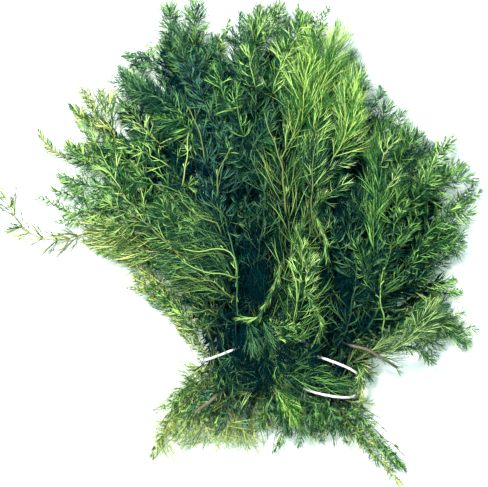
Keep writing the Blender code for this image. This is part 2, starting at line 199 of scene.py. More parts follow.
# How loosely the leaves hang, how far they open at their ends, the least radius of the stem, and how
# many side shoots a sprig has, with the length of their leaves and their least and most reach
usualHabit = {"loose": 1.0, "open": 0.45, "blunt": 0.0, "branches": 0}
ownHabits = {
    "bushy": {"branches": 5, "branchLeaf": 21.0, "branchReach": (34, 66)},
    "foxtail": {"open": 0.15, "branches": 3, "branchLeaf": 18.0, "branchReach": (34, 60)},
    "tapered": {"branches": 4, "branchLeaf": 16.0, "branchReach": (30, 50)},
    "airy": {"branches": 3, "branchLeaf": 17.0, "branchReach": (24, 44)},
    "hair": {"loose": 0.5, "branches": 4, "branchLeaf": 24.0, "branchReach": (40, 66)},
    "brush": {"loose": 0.6, "branches": 1, "branchLeaf": 20.0, "branchReach": (24, 36)},
    "short": {"branches": 2, "branchLeaf": 9.0, "branchReach": (20, 34)},
    "rope": {"loose": 0.3, "open": 0.12},
    "cut": {"blunt": 1.0},
}
habits = {
    name: {**usualHabit, **dict(zip(habitKeys, row)), **ownHabits.get(name, {})}
    for name, row in habitRows.items()
}

# By layer from the bottom: the share of a tip leaf that its stems stop short, how much thicker its
# inner leaves are drawn, how many of them fork twice, how much painted shade it gets, and its slot
layers = {
    "trim": [0.0, 0.1, 0.3, 0.35, 0.4],
    "thicker": [4.5, 4.0, 1.8, 1.2, 1.0],
    "longBladed": [0.0, 0.0, 0.2, 0.55, 0.9],
    "shade": [1.0, 0.95, 0.85, 0.6, 0.3],
    "slot": ["foliage_deep", "foliage_deep", "foliage_mid", "foliage_mid", "foliage_light"],
}


def beds(*routes):
    # dark filling low in the bunch, in full painted shade: a few thick leaves for the many fine ones,
    # along each route
    return [("bed", "teal", 1.9, route) for route in routes]


# Side shoots that stand out: habit, tint, painted shade and route in x, y and height. Each one forks
# off the sprig that passes nearest to its start. A shade over 1 is for those deep in the bunch, dark to
# their tips
twigs = [
    # upper left
    ("bushy", "bright", 0.2, [(-60, 94, 20), (-67, 103, 17), (-74, 110, 13)]),
    ("foxtail", "deep", 0.3, [(-38, 112, 22), (-40, 128, 18), (-41, 144, 13)]),
    ("bushy", "deep", 0.3, [(-26, 108, 22), (-23, 122, 18), (-20, 134, 13)]),
    ("slim", "yellow", 0.0, [(-96, 74, 17), (-106, 82, 14), (-114, 90, 10)]),
    ("sparse", "yellow", 0.0, [(-84, 70, 24), (-89, 84, 22), (-87, 98, 18)]),
    ("airy", "yellow", 0.0, [(-88, 56, 24), (-98, 60, 20), (-108, 65, 16)]),
    ("airy", "green", 0.1, [(-84, 26, 28), (-100, 27, 22), (-112, 28, 16)]),
    ("bushy", "bright", 0.1, [(-84, 18, 26), (-100, 20, 20), (-116, 20, 11)]),
    ("airy", "green", 0.2, [(-90, 34, 22), (-104, 36, 16), (-119, 38, 9)]),
    ("bushy", "green", 0.1, [(-98, 48, 22), (-110, 57, 16), (-118, 67, 11)]),
    ("airy", "bright", 0.0, [(-102, 38, 20), (-114, 42, 14), (-122, 47, 9)]),
    ("airy", "green", 0.2, [(-40, 30, 44), (-58, 38, 40), (-80, 44, 32), (-98, 50, 24)]),
    ("airy", "bright", 0.0, [(-46, 46, 40), (-66, 58, 34), (-82, 66, 28)]),
    ("bushy", "green", 0.1, [(-60, 20, 38), (-82, 30, 31), (-102, 38, 23)]),
    ("airy", "pale", 0.0, [(-56, 66, 34), (-66, 76, 30), (-78, 80, 26)]),
    ("foxtail", "deep", 0.3, [(-34, 78, 46), (-48, 90, 41), (-64, 96, 35), (-76, 100, 30)]),
    ("foxtail", "green", 0.3, [(-30, 70, 46), (-42, 78, 42), (-58, 82, 37)]),
    ("sparse", "pale", 0.0, [(-72, 20, 36), (-79, 32, 36), (-87, 44, 34), (-92, 52, 32)]),
    ("bare", "pale", 0.0, [(-40, 37, 50), (-38, 49, 51), (-36, 59, 51), (-34, 73, 50)]),
    ("bare", "olive", 0.1, [(-24, 49, 50), (-26, 69, 50), (-32, 84, 48), (-38, 91, 46)]),
    ("sparse", "olive", 0.1, [(-20, 79, 46), (-17, 83, 46), (-3, 90, 44)]),
    ("bare", "olive", 0.0, [(-15, 24, 54), (-15, 41, 54), (-11, 52, 54), (-7, 62, 53)]),
    ("star", "olive", 0.1, [(-10, 54, 46), (-7, 60, 54)]),
    ("bushy", "teal", 1.0, [(-52, 44, 14), (-62, 60, 12), (-74, 76, 10)]),
    ("bushy", "teal", 1.0, [(-60, 36, 12), (-72, 50, 10), (-86, 62, 8)]),
    ("bushy", "deep", 0.6, [(-50, 60, 26), (-60, 66, 24), (-74, 68, 20)]),
    ("short", "yellow", 0.0, [(-26, -70, 18), (-36, -57, 16), (-47, -45, 13), (-58, -34, 10)]),
    ("short", "bright", 0.0, [(-28, -60, 24), (-38, -50, 21), (-50, -38, 17), (-62, -30, 13)]),
    ("bushy", "green", 0.1, [(-56, 92, 26), (-70, 98, 22), (-82, 103, 18)]),
    ("bushy", "green", 0.1, [(-66, 84, 24), (-78, 90, 20), (-88, 95, 15)]),
    ("star", "olive", 0.0, [(-37, 34, 44), (-33, 37, 53)]),
    ("star", "yellow", 0.0, [(-48, -3, 40), (-43, -1, 50)]),
    ("star", "olive", 0.1, [(-34, 60, 42), (-29, 64, 50)]),
    ("star", "green", 0.1, [(-66, 62, 28), (-62, 66, 36)]),
    ("airy", "yellow", 0.0, [(-49, -30, 22), (-62, -20, 17), (-75, -12, 13), (-87, -5, 9)]),
    ("airy", "yellow", 0.0, [(-52, -37, 20), (-63, -29, 15), (-72, -25, 10)]),
    # combed to the left, and the left edge
    ("hair", "olive", 0.65, [(-9, 13, 53), (-26, 17, 50), (-46, 21, 44), (-60, 21, 38)]),
    ("hair", "deep", 0.5, [(-5, -1, 53), (-22, 7, 51), (-42, 11, 46), (-64, 11, 38)]),
    ("hair", "olive", 0.7, [(-3, -12, 52), (-19, -4, 50), (-39, 0, 45), (-56, -1, 38)]),
    ("hair", "deep", 0.5, [(-3, -24, 50), (-17, -16, 48), (-36, -11, 42), (-52, -12, 35)]),
    ("hair", "olive", 0.55, [(-4, -40, 46), (-19, -29, 44), (-37, -21, 38), (-50, -21, 30)]),
    ("bare", "bright", 0.0, [(-3, -22, 54), (-5, -12, 56), (-12, -6, 56), (-30, -7, 54), (-42, -4, 50)]),
    ("bare", "bright", 0.0, [(-3, -24, 54), (-13, -19, 56), (-28, -17, 54), (-40, -12, 50)]),
    ("bare", "olive", 0.0, [(-5, -38, 52), (-12, -30, 54), (-20, -26, 53), (-34, -27, 48)]),
    ("bare", "olive", 0.0, [(-11, -1, 54), (-16, 12, 56), (-28, 18, 54), (-40, 27, 52)]),
    ("airy", "olive", 0.2, [(-13, -51, 42), (-26, -40, 36), (-39, -32, 28), (-52, -30, 20)]),
    ("hair", "yellow", 0.0, [(-52, 4, 36), (-72, 8, 28), (-92, 12, 20), (-104, 14, 14)]),
    ("hair", "yellow", 0.0, [(-50, -6, 32), (-72, -2, 24), (-90, 2, 17), (-102, 2, 11)]),
    ("airy", "yellow", 0.0, [(-22, -62, 24), (-34, -50, 20), (-50, -38, 14), (-62, -31, 9)]),
    ("short", "yellow", 0.0, [(-30, -62, 20), (-42, -54, 15), (-52, -47, 11)]),
    ("short", "bright", 0.0, [(-42, -50, 16), (-54, -44, 12), (-65, -37, 9)]),
    ("airy", "yellow", 0.0, [(-94, 60, 18), (-104, 72, 14), (-112, 84, 9)]),
    ("bare", "deep", 0.4, [(-14, 22, 50), (-7, 4, 52), (-3, -12, 52), (-3, -32, 49), (-3, -48, 44)]),
    # top
    ("airy", "bright", 0.0, [(10, 96, 46), (6, 114, 43), (4, 130, 38)]),
    ("airy", "bright", 0.0, [(20, 96, 46), (26, 116, 42), (30, 134, 38)]),
    ("airy", "green", 0.0, [(-8, 86, 46), (-14, 102, 42), (-16, 116, 38)]),
    ("airy", "green", 0.1, [(2, 66, 50), (-4, 84, 48), (-2, 100, 44)]),
    ("airy", "bright", 0.1, [(8, 121, 36), (8, 138, 32), (10, 152, 28)]),
    ("airy", "bright", 0.1, [(14, 128, 38), (20, 145, 34), (29, 157, 30)]),
    ("hair", "bright", 0.0, [(8, 128, 38), (12, 143, 33), (20, 156, 28)]),
    ("bushy", "bright", 0.1, [(27, 115, 40), (36, 135, 36), (43, 151, 32)]),
    # bright plume
    ("hair", "lime", 0.0, [(44, 84, 48), (52, 104, 44), (58, 122, 40), (63, 138, 36)]),
    ("hair", "lime", 0.0, [(38, 74, 50), (40, 92, 48), (44, 112, 43), (46, 126, 39)]),
    ("brush", "lime", 0.0, [(62, 56, 46), (69, 76, 44), (71, 96, 40), (69, 116, 34)]),
    ("brush", "lime", 0.0, [(64, 60, 44), (74, 80, 42), (76, 100, 38), (77, 114, 34)]),
    ("hair", "lime", 0.0, [(56, 51, 50), (66, 69, 48), (68, 88, 44), (67, 106, 40)]),
    ("bare", "olive", 0.0, [(29, 15, 54), (26, 36, 55), (20, 63, 54), (14, 85, 50)]),
    ("airy", "olive", 0.3, [(54, -6, 46), (45, 19, 50), (47, 44, 50), (50, 72, 50)]),
    ("hair", "deep", 0.6, [(45, 30, 48), (47, 50, 50), (50, 72, 50)]),
    ("airy", "pale", 0.2, [(49, 27, 46), (60, 34, 44), (70, 40, 42)]),
    ("airy", "pale", 0.2, [(52, 44, 46), (62, 50, 44), (71, 55, 42)]),
    *beds([(52, 54, 16), (53, 74, 15), (55, 92, 13), (57, 104, 11)]),
    # brown cut stems
    ("cut", "russet", 0.0, [(66, -66, 38), (78, -69, 39), (90, -74, 36), (98, -79, 32), (106, -85, 27)]),
    ("cut", "russet", 0.0, [(-11, -96, 38), (-20, -105, 36), (-28, -110, 31), (-33, -115, 27)]),
    ("cut", "russet", 0.0, [(16, -110, 20), (19, -118, 16), (22, -126, 11)]),
    ("cut", "russet", 0.0, [(62, -112, 20), (65, -120, 15), (67, -129, 10)]),
    # right
    ("brush", "green", 0.1, [(90, 3, 42), (90, 30, 40), (89, 52, 36), (88, 70, 32)]),
    ("brush", "green", 0.0, [(87, -10, 42), (87, 20, 40), (86, 44, 36), (85, 64, 32)]),
    ("bare", "bright", 0.0, [(92, -66, 34), (93, -49, 40), (91, -40, 42), (92, -15, 44)]),
    ("moss", "yellow", 0.0, [(124, -32, 24), (130, -40, 20), (134, -46, 17)]),
    ("airy", "bright", 0.0, [(118, -48, 24), (128, -54, 20), (138, -58, 15)]),
    ("bushy", "green", 0.0, [(118, 32, 30), (132, 39, 24), (146, 43, 17), (158, 39, 11)]),
    ("bushy", "bright", 0.0, [(116, 36, 32), (123, 46, 27), (131, 58, 20), (141, 70, 13)]),
    ("bushy", "green", 0.1, [(124, 34, 24), (139, 47, 16), (149, 53, 11)]),
    ("airy", "pale", 0.0, [(92, 30, 44), (97, 38, 42), (104, 48, 40)]),
    ("airy", "pale", 0.0, [(88, 48, 42), (95, 60, 40), (102, 68, 36)]),
    ("moss", "olive", 0.0, [(100, 14, 44), (104, 20, 43), (108, 27, 42)]),
    ("airy", "green", 0.0, [(116, 0, 36), (132, 13, 28), (143, 19, 20), (151, 29, 12)]),
    ("airy", "green", 0.0, [(122, -4, 30), (138, 2, 20), (150, 5, 12)]),
    ("bushy", "green", 0.1, [(122, -54, 20), (140, -60, 12), (154, -69, 7)]),
    ("airy", "green", 0.1, [(116, -60, 18), (123, -70, 12), (129, -80, 7)]),
    ("airy", "green", 0.1, [(112, -44, 20), (128, -50, 14), (142, -58, 8)]),
    ("airy", "bright", 0.0, [(108, -62, 18), (120, -62, 13), (134, -70, 8)]),
    ("airy", "bright", 0.0, [(122, -42, 16), (132, -50, 11), (143, -62, 6)]),
    ("bushy", "green", 0.2, [(70, -78, 22), (80, -85, 15), (88, -92, 9)]),
    ("short", "deep", 0.1, [(84, 84, 28), (90, 94, 20), (94, 104, 12)]),
    # deep in the bunch
    *beds(
        [(40, -60, 8), (44, -30, 8), (50, 0, 8), (58, 30, 8), (66, 60, 7)],
        [(30, -50, 8), (34, -20, 8), (40, 15, 8), (46, 50, 7), (52, 80, 7)],
        [(50, -70, 8), (56, -40, 8), (64, -10, 8), (74, 20, 7), (84, 55, 6)],
        [(62, -70, 8), (74, -40, 8), (90, -10, 8), (104, 20, 7), (112, 40, 6)],
        [(72, -70, 8), (90, -50, 8), (110, -26, 7), (126, -6, 6)],
        [(104, 0, 8), (120, 20, 7), (132, 32, 6)], [(106, -42, 8), (122, -32, 7), (134, -26, 6)],
        [(96, 30, 8), (104, 50, 7), (112, 70, 6)],
        [(-20, -50, 16), (-36, -16, 18), (-54, 12, 16), (-70, 34, 12)],
        [(-4, -50, 18), (-12, 0, 20), (-22, 50, 18), (-32, 92, 12)],
        [(10, -50, 18), (8, 0, 20), (8, 60, 18), (6, 106, 12)],
        [(22, -50, 18), (26, 0, 20), (32, 60, 18), (38, 104, 12)],
        [(-20, 92, 10), (-17, 110, 9), (-16, 122, 7)], [(-38, 86, 9), (-46, 108, 7), (-50, 132, 5)],
        [(0, -40, 8), (-6, 20, 8), (-14, 70, 7), (-26, 122, 6)],
        [(14, -40, 8), (16, 20, 8), (18, 70, 7), (20, 128, 6)],
        [(-10, -40, 8), (-24, 0, 8), (-38, 30, 7), (-52, 56, 6)],
        [(-4, 60, 8), (-4, 90, 7), (-4, 124, 6)], [(32, 60, 8), (36, 90, 7), (38, 124, 6)],
        [(-24, 60, 8), (-34, 88, 7), (-44, 120, 6)], [(-30, 104, 8), (-31, 120, 7), (-32, 136, 5)],
        [(-30, 50, 8), (-48, 78, 7), (-66, 104, 6)], [(-34, 40, 8), (-56, 66, 7), (-80, 88, 6)],
        [(-40, 30, 8), (-64, 48, 7), (-90, 60, 6)], [(78, 36, 8), (84, 58, 7), (90, 84, 6)],
        [(66, 50, 8), (72, 70, 7), (77, 94, 6)],
    ),
    ("bushy", "deep", 0.8, [(100, 10, 18), (118, 28, 14), (138, 44, 9)]),
    ("bushy", "deep", 0.8, [(104, -20, 18), (124, -12, 14), (144, -2, 9)]),
    ("bushy", "deep", 0.8, [(96, -54, 18), (118, -46, 14), (138, -40, 9)]),
    *beds(
        [(60, -60, 16), (70, -20, 18), (82, 20, 14), (90, 52, 10)],
        [(76, -60, 16), (96, -26, 16), (114, 2, 12), (128, 18, 8)],
    ),
    ("bushy", "green", 0.3, [(110, 20, 24), (124, 38, 18), (134, 50, 12)]),
    ("bushy", "green", 0.3, [(106, 36, 24), (116, 52, 18), (122, 64, 12)]),
    ("bushy", "green", 0.3, [(114, -6, 24), (130, 4, 18), (142, 10, 12)]),
    ("bushy", "green", 0.1, [(108, 54, 22), (114, 64, 16), (119, 74, 10)]),
    ("bushy", "deep", 0.3, [(112, -20, 22), (128, -16, 16), (139, -10, 10)]),
    # over the gap and the necks
    *beds(
        [(36, -56, 16), (42, -34, 14), (48, -8, 12), (52, 20, 10)],
        [(50, -60, 16), (52, -36, 14), (56, -14, 12), (62, 16, 10), (68, 40, 8)],
        [(-22, -46, 14), (-16, -62, 12), (-18, -84, 9)], [(-4, -44, 16), (-4, -64, 14), (-8, -92, 9)],
        [(12, -44, 16), (14, -66, 14), (12, -96, 9)], [(56, -66, 14), (62, -84, 12), (60, -106, 8)],
        [(68, -60, 14), (70, -78, 12), (72, -98, 8)],
    ),
    ("arc", "deep", 0.5, [(-16, -64, 35), (-8, -78, 37), (0, -92, 34)]),
    ("arc", "deep", 0.5, [(6, -58, 38), (14, -74, 38), (16, -90, 33)]),
    ("arc", "deep", 0.5, [(-22, -82, 30), (-8, -92, 33), (8, -97, 31)]),
    ("hair", "teal", 1.9, [(58, -16, 34), (61, 10, 36), (64, 34, 36), (66, 58, 32)]),
    ("hair", "teal", 1.9, [(54, -40, 30), (57, -22, 32), (60, -4, 33)]),
    ("rope", "olive", 0.25, [(25, -12, 50), (22, -27, 50), (18, -37, 48), (12, -48, 46), (-2, -50, 44)]),
    ("rope", "olive", 0.25, [(37, -27, 46), (44, -37, 45), (49, -49, 42), (48, -63, 39), (42, -73, 37)]),
    ("hair", "deep", 1.9, [(4, 24, 38), (6, -6, 38), (10, -36, 36)]),
    ("hair", "teal", 1.9, [(0, 10, 36), (6, -16, 36), (12, -42, 34)]),
    ("bushy", "teal", 0.9, [(30, -50, 26), (36, -26, 26), (40, 0, 26), (44, 24, 24)]),
    ("rope", "olive", 0.2, [(44, 26, 50), (47, 14, 50), (53, 2, 49), (56, -14, 46)]),
    ("bare", "bright", 0.0, [(30, -8, 48), (34, -27, 49), (35, -40, 48), (34, -60, 43)]),
    ("airy", "pale", 0.0, [(44, -30, 44), (44, -18, 48), (46, -8, 49)]),
    ("bushy", "teal", 1.0, [(38, -52, 14), (37, -76, 12), (36, -98, 10)]),
    ("bushy", "teal", 0.9, [(34, -60, 22), (40, -80, 18), (38, -104, 12)]),
    ("arc", "green", 0.5, [(30, -76, 36), (44, -83, 38), (58, -84, 38)]),
    ("arc", "green", 0.4, [(20, -98, 28), (40, -104, 30), (60, -109, 28)]),
    ("star", "green", 0.2, [(-20, -84, 28), (-14, -88, 35)]),
    ("arc", "green", 0.2, [(-18, -70, 34), (-10, -86, 36), (-8, -98, 32)]),
    ("arc", "green", 0.2, [(24, -64, 36), (22, -78, 37), (28, -94, 33)]),
    ("hair", "deep", 1.5, [(4, -49, 38), (5, -67, 38), (7, -83, 35), (5, -100, 28)]),
    ("hair", "deep", 1.5, [(18, -53, 38), (20, -70, 38), (18, -84, 35), (14, -96, 28)]),
    ("star", "deep", 0.1, [(-2, -84, 30), (2, -80, 38)]),
    ("hair", "teal", 1.5, [(37, -62, 33), (39, -80, 32), (37, -98, 26)]),
    ("hair", "deep", 1.5, [(-6, -57, 37), (-4, -70, 37), (-8, -84, 34), (-13, -98, 27)]),
    ("brush", "teal", 1.5, [(0, -50, 36), (1, -66, 37), (0, -84, 33)]),
    ("brush", "teal", 1.5, [(44, -56, 37), (47, -72, 38), (45, -90, 34)]),
    ("hair", "green", 0.3, [(18, -88, 32), (36, -86, 36), (54, -92, 36), (68, -86, 30)]),
    ("hair", "deep", 0.2, [(22, -94, 30), (38, -92, 34), (54, -98, 33), (66, -94, 28)]),
    ("short", "bright", 0.1, [(14, -62, 40), (27, -63, 41), (42, -61, 39)]),
    ("short", "bright", 0.1, [(16, -57, 40), (29, -56, 42), (40, -56, 40)]),
    ("star", "deep", 0.2, [(12, -82, 30), (18, -77, 38)]),
    ("star", "olive", 0.2, [(-30, -58, 24), (-25, -53, 33)]),
    ("brush", "deep", 0.9, [(2, -48, 41), (6, -60, 42), (8, -74, 39)]),
    ("brush", "deep", 0.8, [(12, -46, 41), (16, -58, 42), (18, -72, 38)]),
    ("airy", "bright", 0.1, [(30, -60, 34), (36, -40, 40), (40, -16, 44), (36, 10, 48)]),
    ("hair", "green", 0.8, [(26, -84, 30), (33, -60, 37), (40, -34, 38), (46, -8, 38)]),
    ("short", "yellow", 0.1, [(76, -62, 28), (80, -82, 24), (77, -100, 19), (80, -112, 14)]),
    ("short", "bright", 0.1, [(72, -74, 30), (77, -90, 24), (74, -104, 19), (74, -114, 14)]),
    ("hair", "deep", 0.5, [(48, -76, 36), (46, -86, 36), (44, -96, 33)]),
    # below the ties
    ("star", "olive", 0.0, [(-34, -112, 12), (-29, -109, 21)]),
    ("short", "yellow", 0.0, [(-20, -80, 20), (-33, -90, 14), (-39, -104, 10), (-46, -122, 7)]),
    ("short", "yellow", 0.0, [(-22, -76, 16), (-31, -71, 15), (-38, -63, 13), (-45, -54, 11)]),
    ("curly", "yellow", 0.0, [(-44, -110, 8), (-50, -124, 6), (-59, -144, 4)]),
    ("curly", "yellow", 0.0, [(-39, -113, 8), (-43, -127, 6), (-47, -140, 4)]),
    ("slim", "yellow", 0.0, [(-42, -112, 9), (-52, -130, 7), (-61, -146, 5)]),
    ("curly", "yellow", 0.0, [(-18, -108, 14), (-22, -122, 8), (-26, -139, 5)]),
    ("curly", "yellow", 0.0, [(-24, -110, 16), (-28, -121, 9), (-36, -137, 5)]),
    ("curly", "olive", 0.0, [(-12, -108, 16), (-14, -121, 9), (-19, -139, 5)]),
    ("curly", "bright", 0.0, [(0, -108, 16), (0, -120, 9), (-4, -139, 5)]),
    ("curly", "yellow", 0.0, [(8, -108, 16), (7, -118, 9), (6, -132, 5)]),
    ("airy", "green", 0.1, [(-18, -90, 22), (-28, -98, 18), (-38, -110, 12)]),
    ("bushy", "green", 0.1, [(-22, -92, 18), (-30, -108, 14), (-36, -122, 9)]),
    ("bushy", "deep", 0.2, [(-12, -94, 20), (-18, -110, 15), (-23, -122, 9)]),
    ("bushy", "bright", 0.1, [(-28, -86, 14), (-40, -102, 10), (-48, -116, 7)]),
    ("curly", "yellow", 0.0, [(-26, -104, 22), (-32, -118, 15), (-40, -130, 8)]),
    ("curly", "yellow", 0.0, [(-8, -106, 22), (-4, -120, 15), (2, -132, 8)]),
    ("bushy", "green", 0.1, [(56, -108, 20), (66, -120, 14), (76, -128, 9)]),
    ("curly", "yellow", 0.0, [(56, -112, 14), (64, -120, 10), (74, -130, 7)]),
    ("short", "olive", 0.0, [(28, -111, 14), (28, -124, 10), (21, -141, 7)]),
    ("curly", "yellow", 0.0, [(-4, -112, 14), (-6, -122, 8), (-10, -140, 5)]),
    ("curly", "green", 0.0, [(8, -112, 14), (8, -122, 8), (4, -138, 5)]),
    ("curly", "bright", 0.0, [(37, -113, 14), (42, -121, 10), (50, -129, 7)]),
    ("short", "green", 0.0, [(66, -108, 18), (81, -122, 12), (95, -134, 9), (109, -151, 6)]),
    ("short", "bright", 0.0, [(64, -112, 16), (78, -127, 12), (94, -140, 8), (110, -154, 5)]),
    ("short", "yellow", 0.0, [(68, -121, 12), (82, -136, 9), (95, -150, 6), (107, -164, 4)]),
    ("curly", "bright", 0.0, [(-20, -88, 16), (-32, -86, 12), (-40, -78, 9)]),
]


def addObject(name, data):
    obj = bpy.data.objects.new(name, data)
    bpy.context.scene.collection.objects.link(obj)
    return obj


def direction(degrees):
    angle = math.radians(degrees)
    return np.array([math.sin(angle), math.cos(angle)])


def unit(rows):
    return rows / np.maximum(np.linalg.norm(rows, axis=-1, keepdims=True), 1e-9)


def smoothPath(points, step):
    # a centripetal Catmull-Rom curve through the points
    points = np.array(points, float)
    padded = np.concatenate([[2 * points[0] - points[1]], points, [2 * points[-1] - points[-2]]])
    gaps = np.linalg.norm(np.diff(padded, axis=0), axis=1)
    knots = np.concatenate([[0], np.cumsum(gaps ** 0.5)])
    path = [points[0]]
    for i in range(1, len(padded) - 2):
        count = max(2, round(float(gaps[i]) / step))
        for t in np.linspace(knots[i], knots[i + 1], count + 1)[1:]:
            row, times = padded[i - 1 : i + 3], knots[i - 1 : i + 3]
            for level in (1, 2, 3):
                row = [
                    ((times[k + level] - t) * row[k] + (t - times[k]) * row[k + 1])
                    / (times[k + level] - times[k])
                    for k in range(4 - level)
                ]
            path.append(row[0])
    return np.array(path)


def lengthAlong(path):
    return np.concatenate([[0], np.cumsum(np.linalg.norm(np.diff(path, axis=0), axis=1))])


def readAt(path, places):
    along = lengthAlong(path)
    return np.stack([np.interp(places, along, path[:, k]) for k in range(3)], axis=1)


def layerHeight(half, row, pitch):
    offset = (half["rowOffset"] if row else 0.0) * pitch / bunch["layerPitch"]
    return bunch["bottomHeight"] + pitch * row + offset


def tieHeight(half):
    return half["neck"][1] + half["bandClear"] + bunch["underTie"] * half["bandThick"]


def sprigPath(half, number, row, place, route):
    # the same axis as the sprig's solid has: cut foot, tie, tip
    tie = np.array(half["tie"])
    side, axis = direction(90 - half["turn"]), direction(-half["turn"])
    wide, high = half["neck"]
    up = (row - (len(half["rows"]) - 1) / 2) * half["rowStep"]
    slot = tie + wide * math.sqrt(1 - (up / high) ** 2) * (2 * place - 1) * side
    lean = (row % 2 - 0.5) * half["stagger"]
    fan = half["fan"][0] + (half["fan"][1] - half["fan"][0]) * place + lean
    near, far = half["footReach"]
    reach = near + (far - near) * ((number * 7) % 10) / 9
    foot = half["feet"].get(number, slot - reach * direction(-fan))
    straight = bunch["straight"]
    flat = smoothPath([foot, slot - straight * axis, slot + straight * axis, *route], bunch["trace"])
    along = lengthAlong(flat)
    atTie = along[np.argmin(np.linalg.norm(flat - slot, axis=1))]
    tieZ = tieHeight(half) + up
    swell, share = bunch["swell"]
    rise = min(swell, share * (along[-1] - atTie))
    heights = np.interp(
        along,
        [0, atTie - straight, atTie + straight, atTie + rise, along[-1]],
        [layerHeight(half, row, bunch["footPitch"]), tieZ, tieZ,
         layerHeight(half, row, bunch["layerPitch"]), layerHeight(half, row, bunch["tipPitch"])],
    )
    soft = [
        np.average(heights, weights=np.exp(-(((along - here) / bunch["rounding"]) ** 2)))
        for here in along
    ]
    return np.column_stack([flat, soft]), atTie


def wander(path, rng, pinned, share=1.0):
    # a slow random sway and small kinks, none at the tip and at the tie
    along = lengthAlong(path)
    nearTie, nearTip = bunch["steady"]
    hold = np.clip(np.abs(along - pinned) / nearTie, 0, 1)
    hold = hold * np.clip((along[-1] - along) / nearTip, 0, 1)
    sway = np.zeros_like(path)
    for most, wave in bunch["sways"]:
        turn = rng.uniform(0, 2 * math.pi, 2)
        sway[:, 0] += most * np.sin(along / wave * 2 * math.pi + turn[0])
        sway[:, 1] += most * np.sin(along / wave * 2 * math.pi + turn[1])
    return path + share * sway * hold[:, None]


# Leaves: each kind is one small mesh of thin three-sided blades, set thousands of times by arrays

leafShape = {
    "sides": 3,
    "fork": 0.36, "nextFork": 0.70,      # where it forks, as shares of its length
    "spread": 0.05, "tipSpread": 0.12,   # how far its forks stand apart
    "plain": 0.5,                        # radius from which a leaf is drawn without forks
}

# Where leaves change along their stem, in mm. A pair is a start and the length of the change
zones = {
    "end": 1.2,                # from the tip to its last whorl
    "young": 8.0,              # from the tip: leaves stand up and are thinner
    "grown": (12.0, 60.0),     # from the tip: leaves turn from a tip leaf's length to the full one
    "inner": 30.0,             # from the tip: leaves get uneven and open out
    "thicker": (28.0, 50.0), "sparser": (70.0, 60.0),    # from the tip, in the lower layers
    "shaded": (8.0, 50.0), "deeper": (60.0, 60.0),       # from the tip: painted shade starts, and deepens again
    "under": 20.0,             # from the tip: leaves below their stem get painted shade
    "lowWhorls": 120.0,        # below the tip's own zone: whorls get to their widest gap
    "hang": 4.0,               # below a tie: leaves may hang back from here on
    "foot": (12.0, 22.0),      # below a tie: leaves thin out
    "neck": 32.0, "crossed": 26.0,       # about a tie: leaves get painted shade, and lie across each other
}

# What a leaf has at a place, as a share of what it has on the rest of its stem
shares = {
    "tipLean": 0.5, "tipLength": 0.8, "tipThick": 0.75,      # at the very tip
    "tieLean": 0.6, "tieLength": 0.75,                       # in the middle of a tie
    "footLength": 0.3, "footCurl": 1.8, "footShade": 0.15,   # below a tie
    "crossing": 4.0,           # how far it strays about a tie
    "thinnest": 0.7, "boldest": 1.2,     # thickness of the darkest and of the lightest leaf
    "closed": 0.15,            # how far the last leaves close over the tip
}

# How leaves differ: angles in degrees, the rest as shares
scatter = {
    "turn": 0.4, "tilt": 9, "tiltTurn": 6.3, "lean": 15,     # of a leaf, and of a whole whorl
    "step": (0.65, 1.35), "tipSize": (0.85, 1.15), "size": (0.5, 1.25),
    "sweep": 0.45, "sweepUp": 0.4, "stray": 0.3, "strayUp": 0.5, "sag": 0.25, "across": 0.5,
    "curl": (0.3, 1.5), "spread": (0.4, 1.6), "age": (0.4, 1.0),
    "droop": 0.6,              # how many leaves below a tie hang back
    "lost": 0.66,              # how many inner leaves of the lower layers are left out
    "under": 0.7, "inner": 0.5, "neck": 0.98,      # how much painted shade leaves get in these places
}


def addBlade(bm, spine, points, radii):
    # one closed blade: a ring, extruded along the points and drawn together at its tip
    ring = bmesh.ops.create_circle(bm, cap_ends=True, segments=leafShape["sides"], radius=1.0)
    ring = ring["verts"]
    cap = ring[0].link_faces[0]
    for i, (point, radius) in enumerate(zip(points, radii)):
        if i:
            out = bmesh.ops.extrude_face_region(bm, geom=[cap])["geom"]
            if i > 1:
                bmesh.ops.delete(bm, geom=[cap], context="FACES_ONLY")
            cap = next(part for part in out if isinstance(part, bmesh.types.BMFace))
            ring = [loop.vert for loop in cap.loops]
        for k, vert in enumerate(ring):
            angle = 2 * math.pi * k / len(ring)
            vert[spine] = Vector(point)
            vert.co = Vector(point) + radius * Vector((0, math.cos(angle), math.sin(angle)))
    bmesh.ops.pointmerge(bm, verts=ring, merge_co=Vector(points[-1]))


def makeLeaf(kind):
    # one leaf as arrays: its spine along unit length, what stands off it, and its triangles
    a, b = leafShape["fork"], leafShape["nextFork"]
    s, t = leafShape["spread"], leafShape["tipSpread"]
    bm = bmesh.new()
    spine = bm.verts.layers.float_vector.new("spine")
    if kind == "long":
        addBlade(bm, spine, [(0, 0, 0), (a, 0, 0), (b, s, 0), (1, t * 1.3, 0)], [0.85, 1, 0.9, 0])
        addBlade(bm, spine, [(a, 0, 0), (b, -s, 0), (0.96, -t, 0)], [0.85, 0.85, 0])
        addBlade(bm, spine, [(b, s, 0), (0.97, 0, 0.04)], [0.75, 0])
    elif kind == "short":
        addBlade(bm, spine, [(0, 0, 0), (0.52, 0.01, 0), (1, 0.09, 0)], [0.85, 1, 0])
        addBlade(bm, spine, [(0.42, 0.01, 0), (0.94, -0.12, 0.03)], [0.9, 0])
    else:
        addBlade(bm, spine, [(0, 0, 0), (0.55, 0, 0), (1, 0, 0)], [0.85, 1, 0])
    bmesh.ops.recalc_face_normals(bm, faces=bm.faces)
    bmesh.ops.triangulate(bm, faces=bm.faces)
    bm.verts.index_update()
    middle = np.array([vert[spine] for vert in bm.verts])
    offset = np.array([vert.co for vert in bm.verts]) - middle
    faces = np.array([[vert.index for vert in face.verts] for face in bm.faces])
    bm.free()
    return middle, offset, faces


